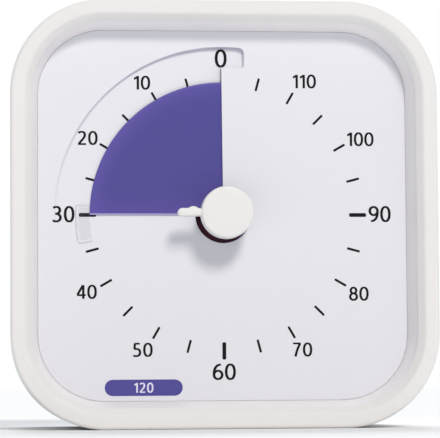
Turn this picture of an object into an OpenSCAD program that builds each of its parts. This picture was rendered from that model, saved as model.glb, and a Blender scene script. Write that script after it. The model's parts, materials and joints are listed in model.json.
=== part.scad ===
// Visual countdown timer: a square desk case in a soft sleeve. A coloured disc winds
// out of a slot in the dial, set by the centre knob and run back by a quartz drive.
// Every piece is drawn in the dial's own frame: x right, y up, z towards the viewer,
// with z = 0 on the dial face. upright() then stands the timer on its base.

/* [Case] */
// Width and height of the case in its sleeve
case_w = 89; // [88:0.5:96]
// Depth from the front rim to the back
case_d = 54.5; // [54:0.5:64]
// Corner radius of the sleeve
case_r = 19.6; // [18.6:0.1:20.4]
// Height of the front rim above the dial face
rim_h = 6.2; // [5.8:0.1:7]

/* [Sleeve] */
// Wall of the silicone sleeve
sleeve_wall = 2.4; // [2.2:0.05:2.7]
// Rounding of the sleeve's front edge
edge_r = 1.3; // [1.1:0.05:1.5]
// Width of the flat front of the lip
lip_flat = 1.7; // [1.5:0.05:1.9]
// Width of the slope inside the lip
slope_w = 1.25; // [1.1:0.05:1.4]
// Fall of the slope inside the lip
slope_d = 1.2; // [0.8:0.1:1.4]
// Thickness of the lip, front to back
lip_t = 1.7; // [1.6:0.1:2]
// Gap between sleeve and housing
sleeve_gap = 0.15; // [0.1:0.05:0.25]

/* [Housing] */
// Wall of the housing
house_wall = 2; // [1.8:0.1:2.4]
// Width of the sloping bezel round the dial
bezel_w = 1.33; // [1.1:0.05:1.5]
// Width of the ledge that the dial sits on
ledge_w = 2.5; // [2:0.1:3]
// Thickness of that ledge
ledge_t = 2; // [1.6:0.1:2.4]
// Thickness of the back cover
cover_t = 3; // [2.8:0.1:3.4]
// Height of the rim inside the back cover
cover_rim = 2.6; // [2:0.1:4]
// Radius of the screw bosses
boss_r = 3.2; // [3:0.1:3.4]

/* [Dial] */
// Thickness of the dial plate
dial_t = 1.5; // [1.4:0.05:1.8]
// Radius of the hole round the hub
hole_r = 5.8; // [5.7:0.05:6.2]
// Space between the sunken ramp and the dial's edge
ramp_margin = 3.3; // [3:0.1:5]
// Depth of the ramp at the slot
ramp_d = 0.75; // [0.7:0.01:0.78]
// Turn over which the ramp rises to the face
ramp_turn = 100; // [98:1:104]
// Turn of the finger pocket before the slot
pocket_turn = 8; // [5:0.5:12]
// Thickness of the dial over the slot
skin_t = 0.3; // [0.28:0.01:0.32]

/* [Disc] */
// Width of the ramp outside the disc, where the numbers go
band_w = 7.7; // [7:0.1:8.4]
// Reach of the clear tab beyond the disc
tab_reach = 3.1; // [2.5:0.1:3.4]
// Length of the tab ahead of the disc's edge, as a turn
tab_lead = 11; // [8:0.5:12]
// Length of the tab behind the disc's edge, as a turn
tab_lag = 4; // [3:0.5:6]
// Thickness of the disc's film
film_t = 0.2; // [0.16:0.01:0.22]
// Rise of the disc in one turn
disc_lead = 2.6; // [2.56:0.01:2.7]
// Time shown at rest, in minutes
set_minutes = 30; // [20:1:40]

/* [Knob] */
// Height of the knob's front above the dial face
knob_h = 8.85; // [8.4:0.05:9.5]
// Radius of the knob's cap
cap_r = 5.25; // [5:0.05:5.6]
// Thickness of the cap
cap_t = 3.8; // [3.4:0.1:4]
// Reach of the pointer from the centre
pointer_l = 10.1; // [9:0.1:12]
// Width of the pointer
pointer_w = 1.9; // [1.6:0.1:2.4]
// Radius of the spindle
spindle_r = 1.5; // [1.4:0.05:1.55]

/* [Movement] */
// Width of the square movement case
mov_w = 56; // [55:0.5:58]
// Depth of the movement case
mov_d = 15; // [14.8:0.1:16]
// Wall of the movement case
mov_wall = 1.2; // [1:0.05:1.3]
// Thickness of the plate that carries the movement
chassis_t = 1.6; // [1.4:0.1:2]
// Gear module
gear_m = 0.4; // [0.38:0.01:0.41]
// Radius of the coil
coil_r = 3; // [2.7:0.1:3.1]
// Length of the coil
coil_l = 17; // [15:0.5:18]

/* [Battery] */
// Length of the cell with its nub
cell_l = 50.5; // [49.5:0.1:50.5]
// Radius of the cell
cell_r = 7.1; // [6.8:0.05:7.25]
// Gap between the battery bay and the screw bosses
bay_gap = 0.3; // [0.2:0.05:1.5]
// Thickness of the battery door
door_t = 1.8; // [1.6:0.1:2]

/* [Back] */
// Radius of the speaker's flange
speaker_r = 14; // [13:0.25:14.5]
// Sideways place of the speaker
speaker_x = 17.5; // [16.5:0.25:18.5]
// Drop from the top of the case to the speaker
speaker_drop = 28; // [27:0.25:29]
// Drop from the top of the case to the switch
switch_drop = 21; // [20:0.25:22]
// Travel of the sound switch
switch_travel = 4; // [3:0.25:4.5]
// Radius of one sound hole
grille_r = 0.8; // [0.6:0.05:0.9]

/* [Hidden] */
$fn = 64;
tiny = 0.01;       // overlap of a cutter past the face that it cuts
fit = 0.05;        // radial gap of a shaft in its bearing and of a screw in its hole
slip = 0.15;       // gap round a piece that slides
seat_gap = 0.1;    // gap round a plate in its seat

// Case planes and half widths
half = case_w / 2;
back_z = rim_h - case_d;
cover_z = back_z + cover_t;                   // inner face of the back cover
face_y = (knob_h + back_z) / 2;               // centres the whole depth on y = 0
house_half = half - sleeve_wall - sleeve_gap;
room_half = house_half - house_wall;          // inside of the housing
lip_half = half - edge_r - lip_flat - slope_w;
lip_gap = 0.2;
crest_z = rim_h - lip_t - sleeve_gap;         // front of the housing, under the lip
dial_half = lip_half - lip_gap - bezel_w;
ledge_z = -dial_t - ledge_t;
boss_at = room_half - 6;

// Screws: shaft radius, head radius, head height
case_screw = [1.3, 2.4, 1.5];
small_screw = [0.9, 1.7, 1.1];

// Disc: a helix through the slot. Turns are counted counter-clockwise from the top.
slot_z = -(ramp_d + skin_t) / 2;
ramp_r = dial_half - ramp_margin;
disc_r = ramp_r - band_w;
slot_r = disc_r + tab_reach + 0.4;
set_turn = set_minutes * 3;
disc_turn = 358;
relief_turn = 206;
hub_r = hole_r - 0.4;
film_z = function (a) slot_z + disc_lead * a / 360;
hub_lo = film_z(set_turn - disc_turn) - 0.35;
hub_hi = film_z(set_turn + tab_lead) + 0.25;

// Movement planes, from the hub backwards
nut_r = 5.6;
nut_t = 1.8;
washer_t = 0.4;
thread_r = 4;
hub_drop = disc_lead * set_turn / 360;        // how far the hub sinks down to zero
nut_z = hub_lo - hub_drop - 0.45;             // front of the nut
chassis_z = nut_z - nut_t - washer_t;         // front of the chassis plate
mov_z = chassis_z - chassis_t;                // front of the movement
mov_back = mov_z - mov_d;
room_z = mov_z - mov_wall;                    // inside front of the movement
floor_z = mov_back + mov_wall;                // inside back of the movement
split_z = mov_z - mov_d / 2;
chassis_half = [room_half - 0.4, 22];
chassis_at = [dial_half - 1.5, 17];
post_r = 2.4;
mov_r = 3;

// Gear train: the wheels' teeth, centres and levels
wheel_teeth = 60;
small_teeth = 10;
drive_teeth = 12;
wheel_t = 1;
pinion_t = 1.5;
arbor_r = 0.5;
third_at = gear_m * (wheel_teeth + drive_teeth) / 2 * [cos(200), sin(200)];
second_at = third_at + gear_m * (wheel_teeth + small_teeth) / 2 * [cos(80), sin(80)];
rotor_at = second_at + gear_m * (wheel_teeth + small_teeth) / 2 * [cos(20), sin(20)];
level_a = room_z - 2.6;
level_b = level_a - 2.5;
level_c = level_b - 2;
level_d = level_c - 2.2;
pivot_d = 0.7;
collar_r = 3;
collar_t = 1;
cam_r = 3.3;
cam_t = 1.1;
pivot_r = 1;

// Coil and stator
stator_t = 0.8;
core_w = 3.4;
core_t = 1.2;
magnet_r = 3;
magnet_t = 2;
stator_z = level_d - 0.6;                     // front of the stator
leg_w = 4;
flange_t = 0.8;
flange_lip = 0.2;
coil_gap = 1.4;                               // between the coil's flange and the case wall
coil_at = [rotor_at[0] + 8, mov_w / 2 - mov_wall - coil_gap - coil_r - flange_lip];
coil_span = coil_l + 2 * flange_t;
pole_size = [10, 9];                          // plate of the stator round the magnet
air_gap = 0.5;
coil_z = stator_z + core_t / 2;

// Circuit board of the movement
board_t = 0.8;
board_z = floor_z + 1.8 + board_t;            // front of the board
board_gap = 0.8;                              // between the board and the case wall
board_top = -spindle_r - 1.7;                 // upper edge, below the spindle
board_low = mov_wall + 2 * board_gap - mov_w / 2;
board_half = [mov_w / 2 - mov_wall - board_gap, (board_top - board_low) / 2];
board_at = [0, (board_top + board_low) / 2];
cam_z = board_z + 0.4;                        // back of the cam
contact_y = -cam_r - 0.25;

// Battery bay in the back cover
bay_wall = 1.4;
spring_room = 4.4;
plate_room = 0.8;
bay_half = [(cell_l + spring_room + plate_room) / 2, cell_r + 0.5];
cell_at = [0, boss_r + bay_gap + bay_wall + bay_half[1] - boss_at];
cell_x = -bay_half[0] + spring_room;          // flat end of the cell
bay_z = cover_z + 2 * cell_r + 0.9;           // floor of the bay
cell_mid = cover_z + cell_r + 0.4;            // axis of the cell, front to back
door_margin = 2;
door_post = [bay_half[0] + bay_wall + 2.6, cell_at[1]];
door_half = bay_half + door_margin * [1, 1];
door_tab = 3.4;                               // half width of the tab that takes the screw
thin_screw = [0.9, 1.7, 0.7];
tail_w = 3;                                   // width of a battery contact's tail
plate_w = 10;                                 // width of the contact plate itself
contact_t = 0.4;
contact_x = [-bay_half[0], bay_half[0] - contact_t];
bay_top = bay_z + bay_wall;
tail_z = bay_top + (mov_back - bay_top) * 0.4; // end of the tails, where the wires start

// Switch and speaker on the back cover
board_inset = 2.5;                            // from the middle of the case to the small board
recess_d = 1.6;
knob_half = [1.8, 1.3];
slider_slot = 2 * (knob_half + slip * [1, 1]) + [switch_travel, 0];
switch_half = [5.5, 3];
switch_t = 3.8;
plug_t = 0.4;                                 // play between switch and cover
small_board = [boss_at - boss_r - bay_gap - board_inset, 15, 1.2];
switch_at = [-board_inset - small_board[0] / 2, half - switch_drop];
small_board_z = cover_z + plug_t + switch_t;
speaker_at = [speaker_x, half - speaker_drop];
ear_r = 1.9;
frame_t = 1.2;
flange_z = cover_z + frame_t;
clamp_t = 0.8;
cone_r = speaker_r - 4.2;
magnet_z = cover_z + 2;
speaker_magnet_t = 3.4;
ear_reach = 2.4;                              // from the speaker's edge to a clamp screw
post_inset = 2.5;                             // from the small board's end to its screw
wire_r = 0.55;
wire_step = 1.8;
outlet = function (i, up) [-11 + wire_step * i, board_at[1] - 6 + up, board_z - board_t];
run_z = mov_back - 2 * wire_r;                // plane of the wires' runs behind the movement

// ---- Shared shapes ----

// Stands the dial frame upright, centred in depth, on its base
module upright() translate([0, face_y, half]) rotate([90, 0, 0]) children();

// Rectangle with round corners
module round_rect(size, r) {
    square([size[0] - 2 * r, size[1]], center = true);
    square([size[0], size[1] - 2 * r], center = true);
    for (x = [-1, 1], y = [-1, 1])
        translate([x * (size[0] / 2 - r), y * (size[1] / 2 - r)]) circle(r);
}

// Slab with round corners, its low face at z
module slab(size, r, z, t) translate([0, 0, z]) linear_extrude(t) round_rect(size, r);

// Carries a profile round the case: x is measured from the sleeve's outside, y is z
module round_case() {
    for (a = [0:90:270]) rotate(a) {
        translate([half, 0, 0]) rotate([90, 0, 0])
            linear_extrude(2 * (half - case_r), center = true) children();
        translate([half - case_r, half - case_r, 0])
            rotate_extrude(angle = 90) translate([case_r, 0]) children();
    }
}

// Joins rings of points, each with the same count, into one closed skin
module skin(rings) {
    m = len(rings[0]);
    n = len(rings);
    sides = [for (i = [0:n - 2], j = [0:m - 1])
        let (k = (j + 1) % m, a = i * m + j, b = i * m + k, c = b + m, d = a + m)
        each [[a, b, c], [a, c, d]]];
    first = [for (j = [1:m - 2]) [0, j + 1, j]];
    last = [for (j = [1:m - 2]) [(n - 1) * m, (n - 1) * m + j, (n - 1) * m + j + 1]];
    polyhedron([for (ring = rings) each ring], concat(sides, first, last));
}

// Point at a radius, a turn counter-clockwise from the top, and a height
function polar(r, a, z) = [-r * sin(a), r * cos(a), z];

// Band between two radii and two turns, with its low and high faces as functions of turn
module band(r_in, r_out, a0, a1, lo, hi, step = 5) {
    n = ceil((a1 - a0) / step);
    skin([for (i = [0:n]) let (a = a0 + (a1 - a0) * i / n)
        [polar(r_in, a, lo(a)), polar(r_out, a, lo(a)),
         polar(r_out, a, hi(a)), polar(r_in, a, hi(a))]]);
}

// Places children at the four corners of a rectangle of half sizes
module corners(at) for (x = [-1, 1], y = [-1, 1]) translate([x * at[0], y * at[1], 0]) children();

// Pan-head screw: its head sits on z = 0 and its shaft runs down the z axis
module screw(kind, length) {
    translate([0, 0, -length]) cylinder(r = kind[0], h = length);
    difference() {
        cylinder(r = kind[1], h = kind[2]);
        for (a = [0, 90]) rotate(a)
            translate([-kind[1] * 0.6, -kind[0] * 0.2, kind[2] * 0.5])
                cube([kind[1] * 1.2, kind[0] * 0.4, kind[2]]);
    }
}

// Hole for that screw: a clear hole, or a seat in a boss
module screw_hole(kind, length) translate([0, 0, -length]) cylinder(r = kind[0] + fit, h = length);

// Outline of one gear tooth after another; the first is centred at the turn "phase"
function gear_points(teeth, phase) = let (
    pitch_r = gear_m * teeth / 2,
    pitch = 360 / teeth,
    root = pitch_r - gear_m * 1.3,
    tip = pitch_r + gear_m * 0.95,
    w_root = pitch * (teeth < 20 ? 0.22 : 0.34),
    w_pitch = pitch * 0.22,
    w_tip = pitch * (teeth < 20 ? 0.1 : 0.11))
    [for (i = [0:teeth - 1], p = [[root, -w_root], [pitch_r, -w_pitch], [tip, -w_tip],
        [tip, w_tip], [pitch_r, w_pitch], [root, w_root]])
        let (a = phase + i * pitch + p[1]) p[0] * [cos(a), sin(a)]];

// Toothed disc whose front face is at z
module gear(teeth, phase, z, t) translate([0, 0, z - t]) linear_extrude(t) polygon(gear_points(teeth, phase));

// Turn from one centre towards another, counter-clockwise from +x
function toward(a, b) = atan2(b[1] - a[1], b[0] - a[0]);

// Arbor that runs between the two halves of the movement case
module arbor() translate([0, 0, floor_z - pivot_d + fit])
    cylinder(r = arbor_r, h = room_z - floor_z + 2 * (pivot_d - fit));

// Points of a line through a list of points, each corner rounded over the length "bend"
function eased(points, bend = 2.5, steps = 4) = concat([points[0]], [
    for (i = [1:len(points) - 2]) let (
        p = points[i],
        back = points[i - 1] - p,
        ahead = points[i + 1] - p,
        a = p + back * min(0.5, bend / norm(back)),
        b = p + ahead * min(0.5, bend / norm(ahead)))
        for (k = [0:steps]) let (t = k / steps)
            (1 - t) * (1 - t) * a + 2 * t * (1 - t) * p + t * t * b], [points[len(points) - 1]]);

// Insulated wire through a list of points, with round bends and square ends
module wire(points) {
    path = eased(points);
    last = len(path) - 1;
    sides = 8;
    skin([for (i = [0:last]) let (
        t = path[min(i + 1, last)] - path[max(i - 1, 0)],
        w = t / norm(t),
        side = cross(w, [0.3, 1, 0.2]),
        u = side / norm(side),
        v = cross(w, u))
        [for (j = [0:sides - 1]) let (b = -360 * j / sides)
            path[i] + wire_r * (cos(b) * u + sin(b) * v)]]);
}

// Places children at the clamp's three ears round the speaker, and at the small board's two screws
module ears(z) for (a = [90, 210, 330])
    translate([speaker_at[0], speaker_at[1], z]) rotate(a) translate([speaker_r + ear_reach, 0, 0]) children();
module board_ends(z) for (x = [-1, 1])
    translate([switch_at[0] + x * (small_board[0] / 2 - post_inset), switch_at[1], z]) children();

// ---- Case ----

module silicone_sleeve() color([0.93, 0.91, 0.9]) upright() {
    lip_x = lip_half - half;
    round_case() polygon(concat(
        [[0, back_z]],
        [for (a = [0:15:90]) [-edge_r + edge_r * cos(a), rim_h - edge_r + edge_r * sin(a)]],
        [[-edge_r - lip_flat, rim_h], [lip_x, rim_h - slope_d], [lip_x, rim_h - lip_t],
         [-sleeve_wall, rim_h - lip_t], [-sleeve_wall, back_z]]));
}

module front_housing() color([0.9, 0.89, 0.93]) upright() difference() {
    union() {
        round_case() polygon([
            [house_half - half, cover_z], [house_half - half, crest_z],
            [lip_half - lip_gap - half, crest_z], [dial_half - half, 0],
            [dial_half - half, -dial_t], [dial_half - ledge_w - half, -dial_t],
            [dial_half - ledge_w - half, ledge_z], [room_half - half, ledge_z],
            [room_half - half, cover_z]]);
        intersection() {
            corners([boss_at, boss_at]) translate([0, 0, cover_z])
                cylinder(r = boss_r, h = -dial_t - ledge_t / 2 - cover_z);
            slab([2 * room_half + 1, 2 * room_half + 1], case_r - half + room_half + 0.5, cover_z, case_d);
        }
        corners(chassis_at) translate([0, 0, chassis_z])
            cylinder(r = post_r, h = -dial_t - ledge_t / 2 - chassis_z);
    }
    corners([boss_at, boss_at]) translate([0, 0, cover_z + 12]) screw_hole(case_screw, 12 + tiny);
    corners(chassis_at) translate([0, 0, chassis_z + 3.4]) screw_hole(small_screw, 3.4 + tiny);
}

module dial_plate() color([0.9, 0.89, 0.93]) upright() difference() {
    plate_half = dial_half - seat_gap;
    slab([2 * plate_half, 2 * plate_half], case_r - half + plate_half, -dial_t, dial_t);
    translate([0, 0, -dial_t - 1]) cylinder(r = hole_r, h = dial_t + 2);
    // The ramp sinks towards the slot, and the finger pocket lies before it
    band(hole_r - 1, ramp_r, 0, ramp_turn,
        function (a) -ramp_d * (1 - a / ramp_turn), function (a) 1);
    band(slot_r, ramp_r, -pocket_turn, 1, function (a) -ramp_d, function (a) 1);
    // Behind the face the plate thins towards the slot, over the part of the disc that is hidden
    band(hole_r - 1, slot_r, -relief_turn, 0, function (a) -dial_t - 1,
        function (a) -skin_t + (dial_t - skin_t) * a / relief_turn);
}

// Outline of the battery door, grown by a gap: a plate over the bay with a tab for its screw
module door_outline(gap) {
    translate(cell_at) round_rect(2 * door_half + 2 * gap * [1, 1], 2);
    reach = door_post[0] + door_tab + gap;
    translate([reach / 2, cell_at[1]]) round_rect([reach, 2 * door_tab + 2 * gap], 2);
}

module back_cover() color([0.9, 0.89, 0.92]) upright() {
    bay = [2 * bay_half[0], 2 * bay_half[1]];
    difference() {
        union() {
            slab([2 * house_half, 2 * house_half], case_r - half + house_half, back_z, cover_t);
            // Locating rim, cut away round the bosses
            difference() {
                slab(2 * (room_half - seat_gap) * [1, 1], case_r - half + room_half - seat_gap,
                    cover_z - tiny, cover_rim);
                slab(2 * (room_half - 1.3) * [1, 1], case_r - half + room_half - 1.3,
                    cover_z - 1, cover_rim + 2);
                corners([boss_at, boss_at]) translate([0, 0, cover_z])
                    cylinder(r = boss_r + 0.3, h = cover_rim + 1);
            }
            translate([cell_at[0], cell_at[1], cover_z - tiny])
                linear_extrude(bay_z + bay_wall - cover_z) square(bay + 2 * bay_wall * [1, 1], center = true);
            translate([door_post[0], door_post[1], cover_z - tiny]) cylinder(r = 2.6, h = 7);
            board_ends(cover_z - tiny) cylinder(r = 2, h = plug_t + switch_t + tiny);
            ears(cover_z - tiny) cylinder(r = ear_r, h = flange_z - cover_z + tiny);
        }
        // Bay and the door's seat
        translate([cell_at[0], cell_at[1], back_z - 1])
            linear_extrude(bay_z - back_z + 1) square(bay, center = true);
        translate([0, 0, back_z - 1]) linear_extrude(door_t + 1) door_outline(seat_gap);
        translate([door_post[0], door_post[1], cover_z + 5]) screw_hole(small_screw, 8);
        for (x = contact_x) translate([x - fit, cell_at[1] - tail_w / 2 - fit, cell_mid])
            cube([contact_t + 2 * fit, tail_w + 2 * fit, case_d]);
        // Countersunk case screws
        corners([boss_at, boss_at]) {
            translate([0, 0, back_z - tiny]) cylinder(r = case_screw[1] + 0.3, h = case_screw[2] + 0.2);
            translate([0, 0, cover_z + 1]) screw_hole(case_screw, cover_t + 2);
        }
        // Switch recess and its slot, and the seats of the small board's screws
        translate([switch_at[0], switch_at[1], 0]) {
            slab([2 * knob_half[0] + switch_travel + 5, 2 * knob_half[1] + 3], 1.5, back_z - 1, recess_d + 1);
            slab(slider_slot, 0.2, back_z - 1, cover_t + 2);
        }
        board_ends(small_board_z) screw_hole(small_screw, 4);
        // Sound holes in rings
        translate([speaker_at[0], speaker_at[1], back_z - 1]) {
            cylinder(r = grille_r, h = cover_t + 2);
            for (ring = [1:3], i = [0:6 * ring - 1]) rotate(i * 60 / ring)
                translate([ring * 3, 0, 0]) cylinder(r = grille_r, h = cover_t + 2);
        }
        ears(flange_z) screw_hole(small_screw, 3);
    }
}

module case_screws() color([0.55, 0.55, 0.57]) upright()
    corners([boss_at, boss_at]) translate([0, 0, back_z + case_screw[2] + 0.2 - tiny]) mirror([0, 0, 1])
        screw(case_screw, 10);

// ---- Disc, knob and spindle ----

module time_disc() color([0.33, 0.31, 0.59]) upright()
    band(hub_r, disc_r, set_turn - disc_turn, set_turn,
        function (a) film_z(a) - film_t / 2, function (a) film_z(a) + film_t / 2, 4);

module disc_tab() color([0.8, 0.8, 0.92, 0.6]) upright()
    band(disc_r, disc_r + tab_reach, set_turn - tab_lag, set_turn + tab_lead,
        function (a) film_z(a) - film_t / 2, function (a) film_z(a) + film_t / 2, 3);

// Section of the spindle where the hub slides: round with one flat
module flatted(grow) difference() {
    circle(spindle_r + grow);
    translate([-5, spindle_r * 0.7 + grow]) square([10, 5]);
}

module disc_hub() color([0.25, 0.16, 0.24]) upright() translate([0, 0, hub_lo]) linear_extrude(hub_hi - hub_lo)
    difference() {
        circle(hub_r);
        flatted(fit);
    }

module knob() color([0.95, 0.95, 0.94]) upright() {
    stem_z = hub_hi + disc_lead * (1 - set_turn / 360) + 0.3;   // clears the hub at a full turn
    round_r = 0.5;
    cap_z = knob_h - cap_t;
    rotate_extrude() polygon(concat(
        [[0, cap_z + 2.6], [spindle_r, cap_z + 2.6], [spindle_r, stem_z], [spindle_r + 0.9, stem_z],
         [spindle_r + 0.9, cap_z], [cap_r - 0.2, cap_z], [cap_r, cap_z + 0.2]],
        [for (a = [0:15:90]) [cap_r - round_r + round_r * cos(a), knob_h - round_r + round_r * sin(a)]],
        [[0, knob_h]]));
    rotate(set_turn) translate([0, 0, cap_z]) linear_extrude(cap_t * 0.62) {
        translate([-pointer_w / 2, cap_r - 0.6]) square([pointer_w, pointer_l - pointer_w / 2 - cap_r + 0.6]);
        translate([0, pointer_l - pointer_w / 2]) circle(pointer_w / 2);
    }
}

module spindle() color([0.72, 0.73, 0.75]) upright() {
    top_z = knob_h - cap_t + 2.6;
    rotate_extrude() polygon([[0, floor_z - pivot_d + fit], [pivot_r, floor_z - pivot_d + fit],
        [pivot_r, cam_z - 0.3], [spindle_r, cam_z - 0.3], [spindle_r, level_a], [collar_r, level_a],
        [collar_r, level_a + collar_t], [spindle_r, level_a + collar_t], [spindle_r, nut_z], [0, nut_z]]);
    translate([0, 0, nut_z - 0.5]) linear_extrude(top_z - nut_z + 0.5) flatted(0);
}

module clutch_spring() color([0.75, 0.7, 0.5]) upright() translate([0, 0, level_a - wheel_t - 0.6])
    rotate_extrude() polygon([[spindle_r + fit, 0], [spindle_r + fit, 0.2], [collar_r, 0.6],
        [collar_r, 0.4], [spindle_r + 0.3, 0]]);

module retaining_ring() color([0.6, 0.6, 0.62]) upright() translate([0, 0, level_a - wheel_t - 1])
    linear_extrude(0.4) difference() {
        circle(2.4);
        circle(spindle_r);
        translate([-0.8, 0]) square([1.6, 4]);
    }

module zero_cam() color([0.9, 0.9, 0.88]) upright() translate([0, 0, cam_z]) linear_extrude(cam_t)
    rotate(set_turn) difference() {
        circle(cam_r);
        circle(spindle_r);
        translate([-4, cam_r - 0.5]) square([8, 4]);
    }

// ---- What carries the movement ----

module chassis_plate() color([0.85, 0.85, 0.87]) upright() difference() {
    slab([2 * chassis_half[0], 2 * chassis_half[1]], 3, chassis_z - chassis_t, chassis_t);
    translate([0, 0, chassis_z - chassis_t - 1]) cylinder(r = thread_r + fit, h = chassis_t + 2);
    corners(chassis_at) translate([0, 0, chassis_z + 1]) screw_hole(small_screw, chassis_t + 2);
}

module chassis_screws() color([0.55, 0.55, 0.57]) upright()
    corners(chassis_at) translate([0, 0, mov_z]) mirror([0, 0, 1]) screw(small_screw, chassis_t + 3);

module bushing_nut() color([0.78, 0.65, 0.35]) upright() translate([0, 0, nut_z - nut_t]) difference() {
    cylinder(r = nut_r, h = nut_t, $fn = 6);
    translate([0, 0, -1]) cylinder(r = thread_r, h = nut_t + 2);
}

module rubber_washer() color([0.2, 0.2, 0.2]) upright() translate([0, 0, chassis_z]) difference() {
    cylinder(r = nut_r + 1.4, h = washer_t);
    translate([0, 0, -1]) cylinder(r = thread_r + fit, h = washer_t + 2);
}

// ---- Movement ----

// Half of the movement's case: an open box between two levels, closed at the face given
module case_half(lo, hi, wall_lo) difference() {
    slab([mov_w, mov_w], mov_r, lo, hi - lo);
    slab([mov_w, mov_w] - 2 * mov_wall * [1, 1], mov_r - mov_wall, wall_lo ? lo + mov_wall : lo - 1,
        hi - lo - mov_wall + 1);
}

// Blind holes for the three arbors, cut from inside to either side of z
module pivots(z) for (at = [third_at, second_at, rotor_at])
    translate([at[0], at[1], z - pivot_d]) cylinder(r = arbor_r + fit, h = 2 * pivot_d);

module movement_front() color([0.16, 0.16, 0.17]) upright() difference() {
    union() {
        case_half(split_z, mov_z, false);
        translate([0, 0, mov_z - tiny]) cylinder(r = thread_r, h = nut_z - mov_z + tiny);
        translate([0, 0, level_a + collar_t + 0.1]) cylinder(r = thread_r, h = mov_z - level_a - collar_t - 0.1);
    }
    translate([0, 0, floor_z]) cylinder(r = spindle_r + fit, h = mov_d + 20);
    pivots(room_z);
}

module movement_back() color([0.16, 0.16, 0.17]) upright() difference() {
    union() {
        case_half(mov_back, split_z, true);
        // Posts under the stator's legs, the circuit board, and the spindle's bearing
        for (x = [-1, 1]) translate([coil_at[0] + x * (coil_span + leg_w) / 2, coil_at[1], floor_z - tiny])
            cylinder(r = 1.5, h = stator_z - stator_t - floor_z + tiny);
        for (x = [-1, 1]) translate([x * (board_half[0] - 3), board_at[1], floor_z - tiny])
            cylinder(r = 2, h = board_z - board_t - floor_z + tiny);
        translate([0, 0, floor_z - tiny]) cylinder(r = 2, h = 0.8);
    }
    translate([0, 0, floor_z - pivot_d]) cylinder(r = pivot_r + fit, h = 4);
    pivots(floor_z);
    // Outlet of the wires
    translate([outlet(0, 0)[0] - 1.5, outlet(0, 0)[1] - 1.5, mov_back - 1])
        linear_extrude(mov_wall + 2) square([wire_step * 3 + 3, 5]);
}

module output_wheel() color([0.93, 0.92, 0.85]) upright() difference() {
    gear(wheel_teeth, toward([0, 0], third_at), level_a, wheel_t);
    translate([0, 0, level_a - 2]) cylinder(r = spindle_r + fit, h = 4);
    for (a = [0:60:300]) rotate(a + 30) translate([7, 0, level_a - 2]) cylinder(r = 2.2, h = 4);
}

// Wheel on an arbor, with the pinion that it drives one level further forward
module wheel_and_pinion(at, wheel_to, pinion_from, teeth, wheel_z, pinion_z) translate([at[0], at[1], 0]) {
    gear(wheel_teeth, toward(at, wheel_to), wheel_z, wheel_t);
    gear(teeth, toward(pinion_from, at) + 180 + 180 / teeth, pinion_z + 0.2, pinion_z - wheel_z + 0.2 + tiny);
    arbor();
}

module third_wheel() color([0.93, 0.92, 0.85]) upright()
    wheel_and_pinion(third_at, second_at, [0, 0], drive_teeth, level_b, level_a);

module second_wheel() color([0.93, 0.92, 0.85]) upright()
    wheel_and_pinion(second_at, rotor_at, third_at, small_teeth, level_c, level_b);

module rotor_pinion() color([0.93, 0.92, 0.85]) upright() translate([rotor_at[0], rotor_at[1], 0]) {
    gear(small_teeth, toward(second_at, rotor_at) + 180 + 180 / small_teeth, level_c + 0.2, pinion_t);
    arbor();
}

module rotor_magnet() color([0.3, 0.3, 0.32]) upright()
    translate([rotor_at[0], rotor_at[1], stator_z - stator_t / 2 - magnet_t / 2]) difference() {
        cylinder(r = magnet_r, h = magnet_t);
        translate([0, 0, -1]) cylinder(r = arbor_r, h = magnet_t + 2);
    }

module stator() color([0.6, 0.6, 0.63]) upright()
    translate([0, 0, stator_z - stator_t]) linear_extrude(stator_t) difference() {
        union() {
            translate(rotor_at) square(pole_size, center = true);
            for (x = [-1, 1]) translate([coil_at[0] + x * (coil_span + leg_w) / 2 - leg_w / 2, rotor_at[1] - 2])
                square([leg_w, coil_at[1] - rotor_at[1] + 2 + core_w / 2]);
            translate([coil_at[0] - (coil_span + leg_w) / 2, rotor_at[1] - 2]) square([coil_span + leg_w, 4]);
        }
        translate(rotor_at) circle(magnet_r + air_gap);
        // The poles are parted where they would short the field
        translate(rotor_at - [0.3, pole_size[1] / 2 + 1]) square([0.6, pole_size[1] / 2 + 1 - magnet_r]);
    }

module coil_core() color([0.6, 0.6, 0.63]) upright() translate([coil_at[0], coil_at[1], stator_z])
    linear_extrude(core_t) square([coil_span + 2 * leg_w, core_w], center = true);

// Turns children so that their z axis runs along the coil
module along_coil() translate([coil_at[0], coil_at[1], coil_z]) rotate([0, 90, 0]) children();

module coil_bobbin() color([0.15, 0.15, 0.16]) upright() difference() {
    along_coil() {
        cylinder(r = core_w / 2 + 0.6, h = coil_span, center = true);
        for (z = [-1, 1]) translate([0, 0, z * (coil_span - flange_t) / 2])
            cylinder(r = coil_r + flange_lip, h = flange_t, center = true);
    }
    translate([coil_at[0], coil_at[1], stator_z]) translate([0, 0, core_t / 2])
        cube([coil_span + 2, core_w, core_t], center = true);
}

module coil_winding() color([0.72, 0.42, 0.2]) upright() along_coil() difference() {
    cylinder(r = coil_r, h = coil_l, center = true);
    cylinder(r = core_w / 2 + 0.6, h = coil_l + 2, center = true);
}

module circuit_board() color([0.1, 0.36, 0.22]) upright() difference() {
    translate([board_at[0], board_at[1], 0]) slab(2 * board_half, 1, board_z - board_t, board_t);
    translate([third_at[0], third_at[1], board_z - board_t - 1]) cylinder(r = 3 * arbor_r, h = board_t + 2);
}

module control_chip() color([0.08, 0.08, 0.08]) upright() translate([9, board_at[1] - 3, board_z]) {
    cylinder(r = 3, h = 0.5);
    translate([0, 0, 0.5]) cylinder(r1 = 3, r2 = 1.6, h = 0.5);
}

module quartz_crystal() color([0.75, 0.76, 0.78]) upright() translate([-5, board_at[1] - 4, board_z + 1.5])
    rotate([0, -90, 0]) cylinder(r = 1.5, h = 7);

module contact_block() color([0.1, 0.1, 0.1]) upright() translate([5, contact_y - 2, board_z])
    cube([3, 2.4, 2]);

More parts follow.
